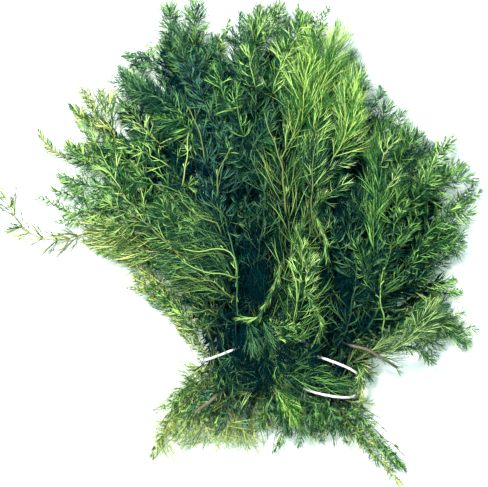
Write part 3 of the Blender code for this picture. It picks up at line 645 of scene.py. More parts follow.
leafKinds = {kind: makeLeaf(kind) for kind in ("long", "short", "plain")}
print("leaf kinds:", {kind: len(leaf[2]) for kind, leaf in leafKinds.items()}, "triangles")


def eased(share, amount):
    # from 1 to the share, as the amount goes from 0 to 1
    return 1 + (share - 1) * amount


def pathFrames(path, places):
    spots = readAt(path, places)
    along = unit(readAt(path, places + 1.5) - readAt(path, places - 1.5))
    side = unit(np.cross(along, [0.0, 0.0, 1.0]))
    return spots, along, side, np.cross(side, along)


def whorlPlaces(start, end, habit, rng):
    # from the tip down, with the whorls further and further apart
    places, down = [], zones["end"]
    while end - down > start:
        places.append(end - down)
        mid = min(1, down / habit["tipZone"])
        low = min(1, max(0, (down - habit["tipZone"]) / zones["lowWhorls"]))
        step = habit["tipStep"] + (habit["midStep"] - habit["tipStep"]) * mid ** 1.5
        step += (habit["lowStep"] - habit["midStep"]) * low
        down += step * rng.uniform(*scatter["step"])
    return np.array(places)


def shadeAlong(at, total, beyond, tie, shade):
    # painted shade: little at the tips and below the tie, deep inside the bunch and in its neck
    fromTip = total - at + beyond
    (near, nearOver), (far, farOver) = zones["shaded"], zones["deeper"]
    value = shade * np.clip((fromTip - near) / nearOver, 0, 1)
    more = scatter["inner"] * np.clip((fromTip - far) / farOver, 0, 1)
    value = np.minimum(max(1, shade), value + more)
    if tie is not None:
        start, over = zones["foot"]
        value = np.maximum(value, scatter["neck"] * np.exp(-(((at - tie) / zones["neck"]) ** 2)))
        value = value * eased(shares["footShade"], np.clip((tie - start - at) / over, 0, 1))
    return value


def growLeaves(path, start, habit, length, shade, rng, tie=None, beyond=0.0, thicker=1.0,
               thin=0.5, wild=0.0):
    # a row for each leaf: where it starts, how it leaves the stem, how it ends, and its size
    count = habit["leaves"]
    total = lengthAlong(path)[-1]
    places = whorlPlaces(start, total, habit, rng)
    at = np.repeat(places, count)
    n = len(at)
    spots, along, side, up = pathFrames(path, at)
    turn = np.repeat(rng.uniform(0, 2 * math.pi, len(places)), count)
    turn = turn + np.tile(np.arange(count), len(places)) * 2 * math.pi / count
    turn = turn + rng.normal(0, scatter["turn"], n)
    tilt = np.repeat(rng.normal(0, scatter["tilt"], len(places)), count)
    tilt = tilt * np.cos(turn - rng.uniform(0, scatter["tiltTurn"]))
    fromTip = total - at
    young = np.clip(fromTip / zones["young"], 0, 1)
    grownFrom, grownOver = zones["grown"]
    grown = np.clip((fromTip - grownFrom) / grownOver, 0, 1)
    loose = habit["loose"]
    uneven = loose * (tilt + rng.normal(0, scatter["lean"], n))
    lean = np.radians(habit["lean"] * eased(shares["tipLean"], 1 - young) + uneven)
    full = habit["tipLeaf"] / habit["leaf"] * length
    size = full * eased(shares["tipLength"], 1 - young) + (length - full) * grown
    inner = np.clip(fromTip / zones["inner"], 0, 1)
    size = size * (inner * rng.uniform(*scatter["size"], n)
                   + (1 - inner) * rng.uniform(*scatter["tipSize"], n))
    faded = np.full(n, wild)
    keep = np.ones(n, bool)
    if tie is not None:
        thinFrom, thinOver = zones["foot"]
        near = np.exp(-(((at - tie) / bunch["tieZone"]) ** 2))
        lean = lean * eased(shares["tieLean"], near)
        faded = np.clip((tie - thinFrom - at) / thinOver, 0, 1)
        size = size * eased(shares["tieLength"], near) * eased(shares["footLength"], faded)
        keep = rng.uniform(0, 1, n) > thin * faded
        backward = (rng.uniform(0, 1, n) < scatter["droop"]) & (at < tie - zones["hang"])
        along = np.where(backward[:, None], -along, along)
    outward = unit(np.cos(turn)[:, None] * side + (habit["flat"] * np.sin(turn))[:, None] * up)
    first = unit(np.cos(lean)[:, None] * along + np.sin(lean)[:, None] * outward)
    # the leaves of a whorl sweep the same way as they collapse
    sweep = rng.normal(0, scatter["sweep"] * loose, (len(places), 3)) * [1, 1, scatter["sweepUp"]]
    sweep = np.repeat(sweep, count, axis=0)
    crossed = faded
    sag = np.array([0, 0, -1.0]) * rng.uniform(0.0, scatter["sag"], n)[:, None]
    if tie is not None:
        crossed = crossed + np.exp(-(((at - tie) / zones["crossed"]) ** 2))
    stray = rng.normal(0, scatter["stray"] * loose, (n, 3)) * [1, 1, scatter["strayUp"]]
    stray = stray * eased(shares["crossing"], crossed)[:, None]
    opened = habit["open"] * inner - shares["closed"]
    last = unit(along + opened[:, None] * outward + sweep + sag + stray)
    across = unit(np.cross(first, up) + rng.normal(0, scatter["across"], (n, 3)))
    across = unit(across - (across * first).sum(1, keepdims=True) * first)
    # leaves below their stem get painted shade
    below = np.clip(-np.sin(turn), 0, 1)
    under = scatter["under"] * below * np.clip(fromTip / zones["under"], 0, 1)
    # light leaves are the bold ones, and what lies inside the bunch has lost some
    light = rng.uniform(0, 1, n)
    lostFrom, lostOver = zones["sparser"]
    buried = np.clip((fromTip + beyond - lostFrom) / lostOver, 0, 1) * np.clip(thicker - 1, 0, 1)
    keep = keep & (rng.uniform(0, 1, n) > scatter["lost"] * buried)
    boldFrom, boldOver = zones["thicker"]
    bolder = eased(thicker, np.clip((fromTip + beyond - boldFrom) / boldOver, 0, 1))
    own = shares["thinnest"] + (shares["boldest"] - shares["thinnest"]) * light ** 2
    curl = habit["curl"] * rng.uniform(*scatter["curl"], n) * eased(shares["footCurl"], faded)
    rows = {
        "spot": spots, "first": first, "last": last, "across": across, "size": size, "curl": curl,
        "spread": rng.uniform(*scatter["spread"], n) * rng.choice([-1, 1], n),
        "thick": habit["thick"] / 2 * eased(shares["tipThick"], 1 - young) * own * bolder,
        "light": light, "age": faded * rng.uniform(*scatter["age"], n),
        "shade": shadeAlong(at, total, beyond, tie, shade) + under,
    }
    return {key: row[keep] for key, row in rows.items()}


def bakeLeaves(leaf, rows):
    # the leaf's arrays, bent along each row's curve
    middle, offset, faces = leaf
    s, y, z = (middle[:, k][None, :, None] for k in range(3))
    first, last, across = (rows[key][:, None, :] for key in ("first", "last", "across"))
    over = np.cross(first, across)
    bend = rows["curl"][:, None, None] * s * s / 2
    points = first * (s - bend) + last * bend
    points = points + across * (y * rows["spread"][:, None, None]) + over * z
    points = rows["spot"][:, None, :] + rows["size"][:, None, None] * points
    top, share = bunch["sink"]
    points[:, :, 2] -= (1 - share) * np.maximum(points[:, :, 2] - top, 0)
    points[:, :, 2] = np.maximum(points[:, :, 2], rows["thick"][:, None] + 0.15)
    stand = across * offset[:, 1][None, :, None] + over * offset[:, 2][None, :, None]
    points = points + rows["thick"][:, None, None] * stand
    n, m = len(rows["size"]), len(middle)
    triangles = (faces[None] + (np.arange(n) * m)[:, None, None]).reshape(-1, 3)
    info = np.stack([
        np.repeat(rows["light"], m), np.tile(middle[:, 0], n),
        np.repeat(rows["age"], m), np.repeat(rows["shade"], m),
    ], axis=1)
    return points.reshape(-1, 3), triangles, info


stemShape = {
    "step": 4.0,               # mm between its rings
    "slim": (0.35, 70.0),      # thickness of the tip as a share, and over how many mm it grows
    "cutSlim": 0.5,            # thickness of the cut end, as a share
    "cutGrows": (0.3, 0.5),    # from where and over what part of the foot it gets to the full one
    "brown": 180.0,            # mm from the tip to where it is as brown as it gets
    "side": 0.6,               # a side stem's thickness, as a share of its parent's
    "above": 25.0,             # mm above the tie from where side shoots fork off
    "between": (0.1, 0.9),     # the part of that stretch where they do, and of the stretch of each
    "leafStart": 3.0, "ownLeafStart": 2.0,     # mm from its fork, or its cut end, to its first leaves
    "lean": (18, 52),          # degrees between a side shoot and its parent
    "reach": (0.75, 6.0),      # at most this share of what is left of its parent, and this much more
    "bend": 0.35,              # where it turns back along its parent, as a share of its reach
    "back": (0.2, 1.2),        # how far it turns back
    "rise": (-2.5, 3.5),       # mm that it sinks or rises
    # the same below a tie: how many fork, from how far down to what share of the foot, and so on
    "footShoots": 2, "footFrom": (6, 0.55), "footLean": (10, 40), "footReach": (24, 40),
    "footBend": 0.5, "footBack": 0.3, "footRise": ((0, 3), (-2, 4)),
    "footLeaf": 0.6, "footShade": 0.3,     # and how much shorter their leaves are, with less painted shade
}


def stemLine(path, thick, shade, tie=None, beyond=0.0):
    # points along a stem, its radius there, how brown it is and how much painted shade it gets
    total = lengthAlong(path)[-1]
    places = np.linspace(0, total, max(3, round(total / stemShape["step"])))
    least, over = stemShape["slim"]
    slim = least + (1 - least) * np.clip((total - places) / over, 0, 1) ** 0.7
    if tie is not None:
        grows, over = stemShape["cutGrows"]
        cut = 1 - np.clip((places - grows * tie) / (over * tie), 0, 1)
        slim = slim * eased(stemShape["cutSlim"], cut)
    age = np.clip((total - places + beyond) / stemShape["brown"], 0, 1)
    return readAt(path, places), thick / 2 * slim, age, shadeAlong(places, total, beyond, tie, shade)


def stemTubes(lines):
    # curves with a round bevel, thinner towards their tips, turned to one mesh
    curve = bpy.data.curves.new("stem", "CURVE")
    curve.dimensions = "3D"
    curve.bevel_depth = mm
    curve.bevel_resolution = 1
    curve.use_fill_caps = True
    for points, radii, *_ in lines:
        spline = curve.splines.new("POLY")
        spline.points.add(len(points) - 1)
        spline.points.foreach_set("co", np.column_stack([points * mm, np.ones(len(points))]).ravel())
        spline.points.foreach_set("radius", radii)
    obj = addObject("stem", curve)
    mesh = bpy.data.meshes.new_from_object(obj.evaluated_get(bpy.context.evaluated_depsgraph_get()))
    mesh.calc_loop_triangles()
    points = np.empty(len(mesh.vertices) * 3)
    mesh.vertices.foreach_get("co", points)
    triangles = np.empty(len(mesh.loop_triangles) * 3, np.int32)
    mesh.loop_triangles.foreach_get("vertices", triangles)
    bpy.data.meshes.remove(mesh)
    bpy.data.objects.remove(obj, do_unlink=True)
    bpy.data.curves.remove(curve)
    points = points.reshape(-1, 3) / mm
    spots, age, shade = (np.concatenate([line[k] for line in lines]) for k in (0, 2, 3))
    nearest = np.array([np.argmin(((spots - point) ** 2).sum(1)) for point in points])
    even = np.full(len(points), 0.5)
    info = np.column_stack([even, 0 * even, age[nearest], shade[nearest]])
    return points, triangles.reshape(-1, 3), info


def branchPaths(path, start, habit, rng):
    # side shoots: they leave the stem at a fork and turn back to run beside it
    total = lengthAlong(path)[-1]
    lines, count = [], habit["branches"]
    low, high = stemShape["between"]
    share, more = stemShape["reach"]
    bend = stemShape["bend"]
    for k in range(count):
        part = low + (high - low) * (k + rng.uniform(low, high)) / count
        at = start + (total - start) * part
        spot, along, side, up = (row[0] for row in pathFrames(path, np.array([at])))
        hand = 1 if (k + int(rng.integers(0, 2))) % 2 else -1
        reach = min(rng.uniform(*habit["branchReach"]), (total - at) * share + more)
        lean = math.radians(rng.uniform(*stemShape["lean"]))
        out = math.cos(lean) * along + math.sin(lean) * hand * side
        later = unit(out + rng.uniform(*stemShape["back"]) * along)
        rise = up * rng.uniform(*stemShape["rise"])
        points = [spot, spot + out * reach * bend + rise / 2,
                  spot + (out * bend + later * (1 - bend)) * reach + rise]
        line = smoothPath(points, bunch["trace"])
        line[:, 2] = np.maximum(line[:, 2], bunch["lowest"])
        lines.append((line, max(0.0, total - at - reach)))
    return lines


def footPaths(path, tie, rng):
    # weaker side shoots that hang back below the tie
    lines = []
    down, share = stemShape["footFrom"]
    firstRise, lastRise = stemShape["footRise"]
    for _ in range(stemShape["footShoots"]):
        at = tie - rng.uniform(down, share * tie)
        spot, along, side, up = (row[0] for row in pathFrames(path, np.array([at])))
        hand = rng.choice([-1.0, 1.0])
        lean = math.radians(rng.uniform(*stemShape["footLean"]))
        out = -math.cos(lean) * along + math.sin(lean) * hand * side
        reach = min(rng.uniform(*stemShape["footReach"]), at - 2)
        later = unit(out - stemShape["footBack"] * along)
        points = [spot, spot + out * reach * stemShape["footBend"] + up * rng.uniform(*firstRise),
                  spot + later * reach + up * rng.uniform(*lastRise)]
        line = smoothPath(points, bunch["trace"])
        line[:, 2] = np.maximum(line[:, 2], bunch["lowest"])
        lines.append(line)
    return lines


def meshFrom(name, parts):
    # one mesh of all the parts, each with a material of its own
    points = np.concatenate([part[0] for part in parts])
    starts = np.cumsum([0] + [len(part[0]) for part in parts[:-1]])
    faces = np.concatenate([part[1] + first for part, first in zip(parts, starts)])
    info = np.concatenate([part[2] for part in parts])
    used = list(dict.fromkeys(part[3] for part in parts))
    slots = np.concatenate([np.full(len(part[1]), used.index(part[3]), np.int32) for part in parts])
    mesh = bpy.data.meshes.new(name)
    mesh.vertices.add(len(points))
    mesh.vertices.foreach_set("co", (points * mm).astype(np.float32).ravel())
    mesh.loops.add(len(faces) * 3)
    mesh.loops.foreach_set("vertex_index", faces.astype(np.int32).ravel())
    mesh.polygons.add(len(faces))
    mesh.polygons.foreach_set("loop_start", np.arange(0, len(faces) * 3, 3, dtype=np.int32))
    for key in used:
        mesh.materials.append(materials[key])
    mesh.polygons.foreach_set("material_index", slots)
    mesh.update(calc_edges=True)
    layer = mesh.color_attributes.new("leafInfo", "FLOAT_COLOR", "POINT")
    layer.data.foreach_set("color", info.ravel())
    mesh.shade_smooth()
    return addObject(name, mesh)


# Materials

# Leaf colours in the shade and in the light, then young and old stem
tints = {
    "teal": ("#012a30", "#569272", "#2c5e46", "#3a4c34"),
    "deep": ("#023a2e", "#689e60", "#386c40", "#425038"),
    "green": ("#06482c", "#86c25e", "#4e8040", "#4a5836"),
    "bright": ("#125624", "#bcec84", "#84ac58", "#565c3a"),
    "lime": ("#246e28", "#cefa82", "#9ec252", "#446630"),
    "yellow": ("#34682a", "#dcec88", "#acbe60", "#5e5a2c"),
    "olive": ("#0c4a2a", "#98c666", "#66783c", "#464828"),
    "pale": ("#1e5c36", "#c6e88c", "#9cb266", "#646c3c"),
    "straw": ("#3c6420", "#c0d068", "#969a50", "#5a5230"),
    "russet": ("#3c5428", "#94a45c", "#666050", "#5a5446"),
}

growth = {
    "leafRoughness": 0.45, "stemRoughness": 0.40, "ior": 1.42,   # a wet cuticle: small soft glints
    "glint": 0.22,        # specular level, low because the leaves are thin and ribbed
    "patch": 16.0,        # mm across a patch of lighter or darker growth
    # how much of the light colour shows, by leaf, towards its end where light is painted, and by patch,
    # from what base
    "leafMix": (2.3, 0.35, 0.9, -1.33), "stemMix": (0.0, 0.0, 0.0, 0.5),
    "faded": "#c2d874",   # leaves below the ties, yellowed
    "shadeColour": "#02262c", "shadeMost": 0.98,   # painted shade on what lies under the other layers, and at most how much
    "strays": 0.33,       # how far the lightest leaves of a shaded layer keep their colour
}


def linear(text):
    # an sRGB hex value as linear RGBA
    values = [int(text[i : i + 2], 16) / 255 for i in (1, 3, 5)]
    return (*[v / 12.92 if v <= 0.04045 else ((v + 0.055) / 1.055) ** 2.4 for v in values], 1.0)


def addNode(tree, kind, settings=None, links=None):
    # a node with its settings, by attribute or input, and its links: input to (node, output)
    node = tree.nodes.new(kind)
    for key, value in (settings or {}).items():
        if isinstance(key, str) and hasattr(node, key):
            setattr(node, key, value)
        else:
            node.inputs[key].default_value = value
    for key, (source, output) in (links or {}).items():
        tree.links.new(source.outputs[output], node.inputs[key])
    return node


def startMaterial(name, roughness, ior, glint=0.5):
    material = bpy.data.materials.new(name)
    material.use_nodes = True
    tree = material.node_tree
    tree.nodes.clear()
    shader = addNode(tree, "ShaderNodeBsdfPrincipled",
                     {"Roughness": roughness, "IOR": ior, "Specular IOR Level": glint})
    addNode(tree, "ShaderNodeOutputMaterial", links={"Surface": (shader, "BSDF")})
    return material, tree, shader


def growthColour(tree, shader, dark, light, old, mix):
    # light and dark growth in patches and leaf by leaf, and painted shade, darker and bluer, low in the
    # bunch
    byLeaf, byTip, byPatch, base = mix
    info = addNode(tree, "ShaderNodeAttribute", {"attribute_name": "leafInfo"})
    parts = addNode(tree, "ShaderNodeSeparateColor", links={"Color": (info, "Color")})
    coords = addNode(tree, "ShaderNodeTexCoord")
    patch = addNode(tree, "ShaderNodeTexNoise",
                    {"Scale": 1 / (growth["patch"] * mm), "Detail": 2.0, "Roughness": 0.6},
                    {"Vector": (coords, "Object")})
    uneven = addNode(tree, "ShaderNodeMath", {"operation": "POWER", 1: 2.0}, {0: (parts, "Red")})
    own = addNode(tree, "ShaderNodeMath", {"operation": "MULTIPLY_ADD", 1: byLeaf, 2: base},
                  {0: (uneven, 0)})
    tip = addNode(tree, "ShaderNodeMath", {"operation": "MULTIPLY_ADD", 1: byTip},
                  {0: (parts, "Green"), 2: (own, 0)})
    share = addNode(tree, "ShaderNodeMath",
                    {"operation": "MULTIPLY_ADD", "use_clamp": True, 1: byPatch},
                    {0: (patch, "Fac"), 2: (tip, 0)})
    lively = addNode(tree, "ShaderNodeMix",
                     {"data_type": "RGBA", 6: linear(dark), 7: linear(light)},
                     {"Factor": (share, 0)})
    aged = addNode(tree, "ShaderNodeMix", {"data_type": "RGBA", 7: linear(old)},
                   {"Factor": (parts, "Blue"), 6: (lively, 2)})
    # painted shade: the leaf's shade value, a little less on its lightest leaves, mixes in the shade
    # colour
    stray = addNode(tree, "ShaderNodeMath",
                    {"operation": "MULTIPLY_ADD", 1: -growth["strays"], 2: growth["shadeMost"]},
                    {0: (uneven, 0)})
    low = addNode(tree, "ShaderNodeMath", {"operation": "MULTIPLY"},
                  {0: (info, "Alpha"), 1: (stray, 0)})
    final = addNode(tree, "ShaderNodeMix", {"data_type": "RGBA", 7: linear(growth["shadeColour"])},
                    {"Factor": (low, 0), 6: (aged, 2)})
    tree.links.new(final.outputs[2], shader.inputs["Base Color"])
    # glints are dimmed where shade is painted
    gloss = addNode(tree, "ShaderNodeMath",
                    {"operation": "MULTIPLY_ADD", 1: -growth["glint"], 2: growth["glint"]},
                    {0: (info, "Alpha")})
    tree.links.new(gloss.outputs[0], shader.inputs["Specular IOR Level"])


def leafMaterial(tint):
    # living hornwort leaf, thin and wet: painted shade deep in its whorl, painted light at its forked
    # ends
    dark, light = tints[tint][:2]
    material, tree, shader = startMaterial(
        "wet_leaf_" + tint, growth["leafRoughness"], growth["ior"], growth["glint"])
    growthColour(tree, shader, dark, light, growth["faded"], growth["leafMix"])
    return material


def stemMaterial(tint):
    # waxy water-plant stem: fresh green at the tip, browner and duller towards the cut foot
    # painted shade deep in the bunch, as on the leaves
    young, old = tints[tint][2:]
    material, tree, shader = startMaterial(
        "waxy_stem_" + tint, growth["stemRoughness"], growth["ior"], growth["glint"])
    growthColour(tree, shader, young, young, old, growth["stemMix"])
    return material


materials = {"leaf " + tint: leafMaterial(tint) for tint in tints}
materials.update({"stem " + tint: stemMaterial(tint) for tint in tints})
print("materials made:", len(materials))


# Sprigs

made = {"leaves": 0, "triangles": 0}

# The random start of each sprig is firstStart plus its place in the list. With that these few grew
# out of the bunch's outline, so each has the one of nine starts that keeps it inside best
firstStart = 100
starts = {
    "right_sprig_17": 8143, "left_sprig_12": 6111, "right_sprig_12": 6138, "left_sprig_08": 7107,
    "left_sprig_22": 6121, "left_sprig_05": 1104, "right_sprig_08": 5134,
}


# Where a strand of a band lies bare, from and to, how far the leaves that lie above bareFrom keep
# off it, and where along each leaf that is looked at
bareStrands = [
    ((-27.0, -77.0), (-8.0, -70.0)), ((54.0, -74.0), (74.0, -87.0)), ((43.0, -99.0), (71.0, -103.0)),
]
bareWidth = 2.4
bareFrom = 24
leafSteps = (0.2, 0.4, 0.6, 0.8, 1.0)


def clearOfBands(rows):
    # which leaves keep off the bare strands
    keep = np.ones(len(rows["size"]), bool)
    for s in leafSteps:
        bend = (rows["curl"] * s * s / 2)[:, None]
        reach = rows["first"] * (s - bend) + rows["last"] * bend
        spot = rows["spot"] + rows["size"][:, None] * reach
        for start, end in bareStrands:
            start, run = np.array(start), np.array(end) - start
            share = np.clip((spot[:, :2] - start) @ run / (run @ run), 0, 1)
            gap = np.linalg.norm(spot[:, :2] - start - share[:, None] * run, axis=1)
            keep &= (gap > bareWidth) | (spot[:, 2] < bareFrom)
    return keep


def leafParts(rows, tint, layer, rng):
    joined = {key: np.concatenate([row[key] for row in rows]) for key in rows[0]}
    clear = clearOfBands(joined)
    joined = {key: row[clear] for key, row in joined.items()}
    made["leaves"] += len(joined["size"])
    long = rng.uniform(0, 1, len(joined["size"])) < layers["longBladed"][layer]
    parts = []
    plain = joined["thick"] > leafShape["plain"]
    for kind, chosen in (("long", long & ~plain), ("short", ~long & ~plain), ("plain", plain)):
        if chosen.any():
            leaves = bakeLeaves(leafKinds[kind], {k: v[chosen] for k, v in joined.items()})
            parts.append((*leaves, "leaf " + tint))
    return parts


twigShape = {
    "drop": 5.0,               # mm that its stem runs under the first point of its route
    "dip": (12.0, 14.0),       # a joint further off than this is reached this far down
    "stub": 0.35,              # the part of a tip leaf that its stem stops short
    "bare": 0.5,               # at most this part of it has no leaves
    "hidden": (6.0, 0.6),      # its stem is this share as thick, and in full painted shade, up to this far on
    "inside": 60,              # how far from its tip a twig deep in the bunch counts, so it is in painted shade to its tip
    "wild": 0.75,              # how faded and curled old leaves are
}


def growTwig(twig, path, rng):
    # a side shoot from the nearest point of the stem
    habitName, tint, shade, route = twig
    habit = habits[habitName]
    joint = path[np.argmin(np.linalg.norm(path - np.array(route[0], float), axis=1))]
    start = np.array(route[0]) - [0, 0, twigShape["drop"]]
    gap = np.linalg.norm(joint - start)
    far, dip = twigShape["dip"]
    middle = [(joint + start) / 2 - [0, 0, dip]] if gap > far else []
    line = wander(smoothPath([joint, *middle, start, *route[1:]], bunch["trace"]), rng, 0.0)
    line[:, 2] = np.maximum(line[:, 2], bunch["lowest"])
    total = lengthAlong(line)[-1]
    end = total - twigShape["stub"] * habit["tipLeaf"]
    line = readAt(line, np.arange(0, end, bunch["trace"]))
    bare = min(twigShape["bare"] * total, float(gap))
    beyond = twigShape["inside"] if shade > 1 else 0.0
    wild = twigShape["wild"] if habitName == "curly" else 0.0
    rows = [growLeaves(line, bare, habit, habit["leaf"], shade, rng, beyond=beyond, wild=wild)]
    points, radii, age, dark = stemLine(line, habit["stem"], shade, beyond=beyond)
    radii = np.maximum(radii, habit["blunt"])
    # the start of its stem, under its first point, is thinner and in full painted shade
    over, slim = twigShape["hidden"]
    under = lengthAlong(points) < bare + over
    stem = stemTubes([(points, np.where(under, slim, 1.0) * radii, age, np.where(under, 1.0, dark))])
    forked = 0 if beyond else 4 if habitName in ("sparse", "curly") else 3
    return [(*stem, "stem " + tint), *leafParts(rows, tint, forked, rng)]


def sprigParts(sprig, seed):
    # the stems and leaves of a sprig, its side shoots and its twigs
    rng = np.random.default_rng(seed)
    habit = habits[sprig["habit"]]
    tint, layer, tie = sprig["tint"], sprig["layer"], sprig["tie"]
    shade = layers["shade"][layer] * sprig["depth"]
    path = wander(sprig["path"], rng, tie if tie is not None else 0.0, sprig["sway"])
    total = lengthAlong(path)[-1]
    trim = (layers["trim"][layer] + sprig["short"]) * habit["tipLeaf"]
    path = readAt(path, np.arange(0, total - trim, bunch["trace"]))
    thicker = layers["thicker"][layer] if habit["branches"] else 1.0
    sideStem, start = habit["stem"] * stemShape["side"], stemShape["leafStart"]
    lines = [stemLine(path, habit["stem"], shade, tie)]
    rows = [growLeaves(path, stemShape["ownLeafStart"], habit, habit["leaf"], shade, rng, tie, 0.0,
                       thicker, sprig["thin"])]
    if tie is not None:
        for side, beyond in branchPaths(path, tie + stemShape["above"], habit, rng):
            lines.append(stemLine(side, sideStem, shade, beyond=beyond))
            length = habit["branchLeaf"]
            rows.append(growLeaves(side, start, habit, length, shade, rng, None, beyond, thicker))
        footShade = stemShape["footShade"] * shade
        for side in footPaths(path, tie, rng) if sprig["footShoots"] else []:
            lines.append(stemLine(side, sideStem, footShade))
            length = habit["leaf"] * stemShape["footLeaf"]
            rows.append(growLeaves(side, start, habit, length, footShade, rng))
    forked = 4 if sprig["habit"] == "sparse" else layer
    parts = [(*stemTubes(lines), "stem " + tint), *leafParts(rows, tint, forked, rng)]
    for twig in sprig["twigs"]:
        parts += growTwig(twig, path, rng)
    return parts


def makeSprig(sprig, seed):
    obj = meshFrom(sprig["name"] + "_leaves", sprigParts(sprig, seed))
    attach(obj, "root")
    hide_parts(sprig["name"])
    made["triangles"] += len(obj.data.polygons)


sprigs = []
for half in (leftHalf, rightHalf):
    number = 0
    for row, group in enumerate(half["rows"]):
        for k, (habitName, tint, route) in enumerate(group):
            place = k / (len(group) - 1)
            path, tie = sprigPath(half, number, row, place, route)
            number += 1
            sprigs.append({
                "name": "%s_sprig_%02d" % (half["name"], number), "habit": habitName,
                "tint": tint, "layer": row, "path": path, "tie": tie, "twigs": [],
                "thin": half["footThin"], "short": half["short"],
                "footShoots": number - 1 not in half["feet"],
                "depth": 0.1 if habitName == "sparse" else np.interp(place, [0, 0.5, 1], half["depth"]),
                "sway": 0.2 if habitName == "sparse" else 1.0,
            })
for k, (habitName, tint, layer, route) in enumerate(shoots):
    flat = smoothPath(route, bunch["trace"])
    height = bunch["bottomHeight"] + layer * (bunch["layerPitch"] + bunch["tipPitch"]) / 2
    sprigs.append({
        "name": "shoot_%02d" % (k + 1), "habit": habitName, "tint": tint, "layer": 3,
        "path": np.column_stack([flat, np.full(len(flat), height)]), "tie": None, "twigs": [],
        "thin": 0.0, "short": 0.0, "footShoots": False, "depth": 0.5, "sway": 0.5,
    })
for twig in twigs:
    start = np.array(twig[3][0])
    gaps = [np.linalg.norm(sprig["path"] - start, axis=1).min() for sprig in sprigs]
    sprigs[int(np.argmin(gaps))]["twigs"].append(twig)
for k, sprig in enumerate(sprigs):
    makeSprig(sprig, starts.get(sprig["name"], firstStart + k))
print("sprigs and shoots grown:", made)


# Rubber bands

rubber = {
    "colour": "#f4f3ec", "worn": "#cfd0c6", "roughness": 0.5,
    "sides": 10, "step": 3.0,     # facets round the strand, and degrees along it
    "square": 0.12,               # the strand is cut nearly square
    "twists": 5,                  # turns of the strand along one loop
    "apart": 0.75,                # how far two turns keep apart where they cross, in thicknesses
    "grain": 0.8, "bump": 0.1,    # mm between the fine ripples of stretched rubber, and their height
    "soil": 5.0, "ior": 1.52,     # mm across a soiled patch
}


def bandPath(half):
    # the middle of the band: closed, round the neck once or twice
    side = np.array([*direction(90 - half["turn"]), 0.0])
    axis = np.array([*direction(-half["turn"]), 0.0])
    centre = np.array([*half["tie"], tieHeight(half)])
    turns, thick = half["bandTurns"], half["bandThick"]
    count = round(360 * turns / rubber["step"])
    path = []
    for k in range(count):
        angle = 2 * math.pi * turns * k / count
        swing = (angle - math.radians(half["bandHighest"])) / turns
        apart = rubber["apart"] * thick * math.sin(swing) if turns > 1 else 0.0
        out = half["bandClear"] + apart
        path.append(
            centre
            + (half["neck"][0] + out) * math.cos(angle) * side
            + (half["neck"][1] + out) * math.sin(angle) * np.array([0.0, 0.0, 1.0])
            + (half["bandUp"] + half["bandSpread"] * math.cos(swing)) * axis
        )
    return np.array(path)


def makeBand(half, material):
    # rings of the strand, bridged one after another and the last to the first
    path = bandPath(half)
    bm = bmesh.new()
    rings = []
    for i, centre in enumerate(path):
        along = unit(path[(i + 1) % len(path)] - path[i - 1])
        out = centre - path.mean(axis=0)
        out = unit(out - (out @ along) * along)
        over = np.cross(along, out)
        turn = 2 * math.pi * rubber["twists"] * half["bandTurns"] * i / len(path)
        ring = bmesh.ops.create_circle(bm, segments=rubber["sides"], radius=1.0)["verts"]
        for k, vert in enumerate(ring):
            angle = 2 * math.pi * k / rubber["sides"]
            radius = half["bandThick"] / 2 * (1 - rubber["square"] * math.cos(4 * (angle - turn)))
            spot = centre + radius * (math.cos(angle) * out + math.sin(angle) * over)
            vert.co = Vector(spot * mm)
        rings.append({edge for vert in ring for edge in vert.link_edges})
    for i, ring in enumerate(rings):
        bmesh.ops.bridge_loops(bm, edges=list(ring | rings[(i + 1) % len(rings)]))
    bmesh.ops.recalc_face_normals(bm, faces=bm.faces)
    name = half["name"] + "_band"
    mesh = bpy.data.meshes.new(name + "_rubber")
    bm.to_mesh(mesh)
    bm.free()
    mesh.materials.append(material)
    mesh.shade_smooth()
    obj = addObject(name + "_rubber", mesh)
    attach(obj, "root")
    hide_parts(name)


def rubberMaterial():
    # white natural rubber, stretched: matt, faintly rippled and a little soiled
    material, tree, shader = startMaterial("natural_rubber_white", rubber["roughness"], rubber["ior"])
    coords = addNode(tree, "ShaderNodeTexCoord")
    soil = addNode(tree, "ShaderNodeTexNoise", {"Scale": 1 / (rubber["soil"] * mm), "Detail": 3.0},
                   {"Vector": (coords, "Object")})
    share = addNode(tree, "ShaderNodeMapRange", {"From Min": 0.5, "From Max": 0.75},
                    {"Value": (soil, "Fac")})
    colour = addNode(tree, "ShaderNodeMix",
                     {"data_type": "RGBA", 6: linear(rubber["colour"]), 7: linear(rubber["worn"])},
                     {"Factor": (share, 0)})
    tree.links.new(colour.outputs[2], shader.inputs["Base Color"])
    ripple = addNode(tree, "ShaderNodeTexNoise", {"Scale": 1 / (rubber["grain"] * mm), "Detail": 1.0},
                     {"Vector": (coords, "Object")})
    bump = addNode(tree, "ShaderNodeBump", {"Strength": 0.3, "Distance": rubber["bump"] * mm},
                   {"Height": (ripple, "Fac")})
    tree.links.new(bump.outputs["Normal"], shader.inputs["Normal"])
    return material


whiteRubber = rubberMaterial()
for half in (leftHalf, rightHalf):
    makeBand(half, whiteRubber)
print("bands made")


# Floor, light and camera

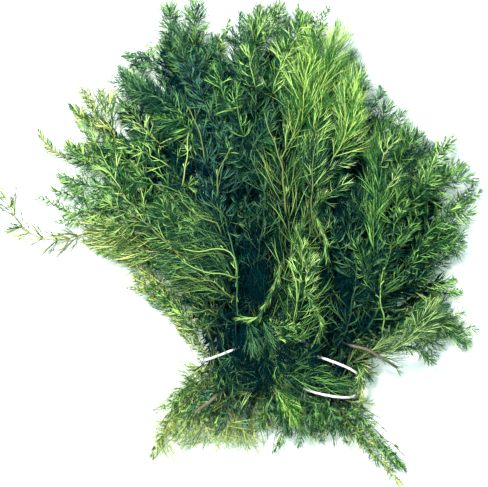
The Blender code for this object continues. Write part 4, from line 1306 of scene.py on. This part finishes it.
studio = {
    "floor": "#eef7f3", "floorSize": 12.0, "floorRoughness": 0.9, "floorIor": 1.45,
    "glow": "#c2e2cb", "glowStrength": 0.3,     # lit from below, so its shadows stay pale
    "sky": "#eef5ff", "skyStrength": 1.0,
    "lampSize": 0.2, "lampPower": 29.0, "lampSpot": (-0.3, 0.4, 1.1), "lampColour": "#fffdf8",
    "cameraSpot": (0.0013, -0.0013, 1.25), "sensor": 36.0,
    "seen": 0.3205, "seenHeight": 0.03,         # what the picture spans at that height, in metres
}


def makeFloor():
    # opal glass over a light table: plain, pale and matt
    bm = bmesh.new()
    bmesh.ops.create_grid(bm, x_segments=1, y_segments=1, size=studio["floorSize"] / 2)
    mesh = bpy.data.meshes.new("floor")
    bm.to_mesh(mesh)
    bm.free()
    material, tree, shader = startMaterial("opal_glass", studio["floorRoughness"], studio["floorIor"])
    shader.inputs["Base Color"].default_value = linear(studio["floor"])
    shader.inputs["Emission Color"].default_value = linear(studio["glow"])
    shader.inputs["Emission Strength"].default_value = studio["glowStrength"]
    mesh.materials.append(material)
    addObject("floor", mesh)


def makeLight():
    world = bpy.data.worlds.new("soft_sky")
    world.use_nodes = True
    sky = world.node_tree.nodes["Background"]
    sky.inputs["Color"].default_value = linear(studio["sky"])
    sky.inputs["Strength"].default_value = studio["skyStrength"]
    bpy.context.scene.world = world
    lamp = bpy.data.lights.new("soft_box", "AREA")
    lamp.shape = "DISK"
    lamp.size = studio["lampSize"]
    lamp.energy = studio["lampPower"]
    lamp.color = linear(studio["lampColour"])[:3]
    obj = addObject("soft_box", lamp)
    obj.location = studio["lampSpot"]
    obj.rotation_euler = (-obj.location).to_track_quat("-Z", "Y").to_euler()


def makeCamera():
    camera = bpy.data.cameras.new("camera")
    camera.sensor_fit = "HORIZONTAL"
    camera.sensor_width = studio["sensor"]
    distance = studio["cameraSpot"][2] - studio["seenHeight"]
    camera.lens = camera.sensor_width * distance / studio["seen"]
    obj = addObject("camera", camera)
    obj.location = studio["cameraSpot"]
    bpy.context.scene.camera = obj


makeFloor()
makeLight()
makeCamera()
bpy.context.scene.view_settings.view_transform = "Standard"
print("studio set")
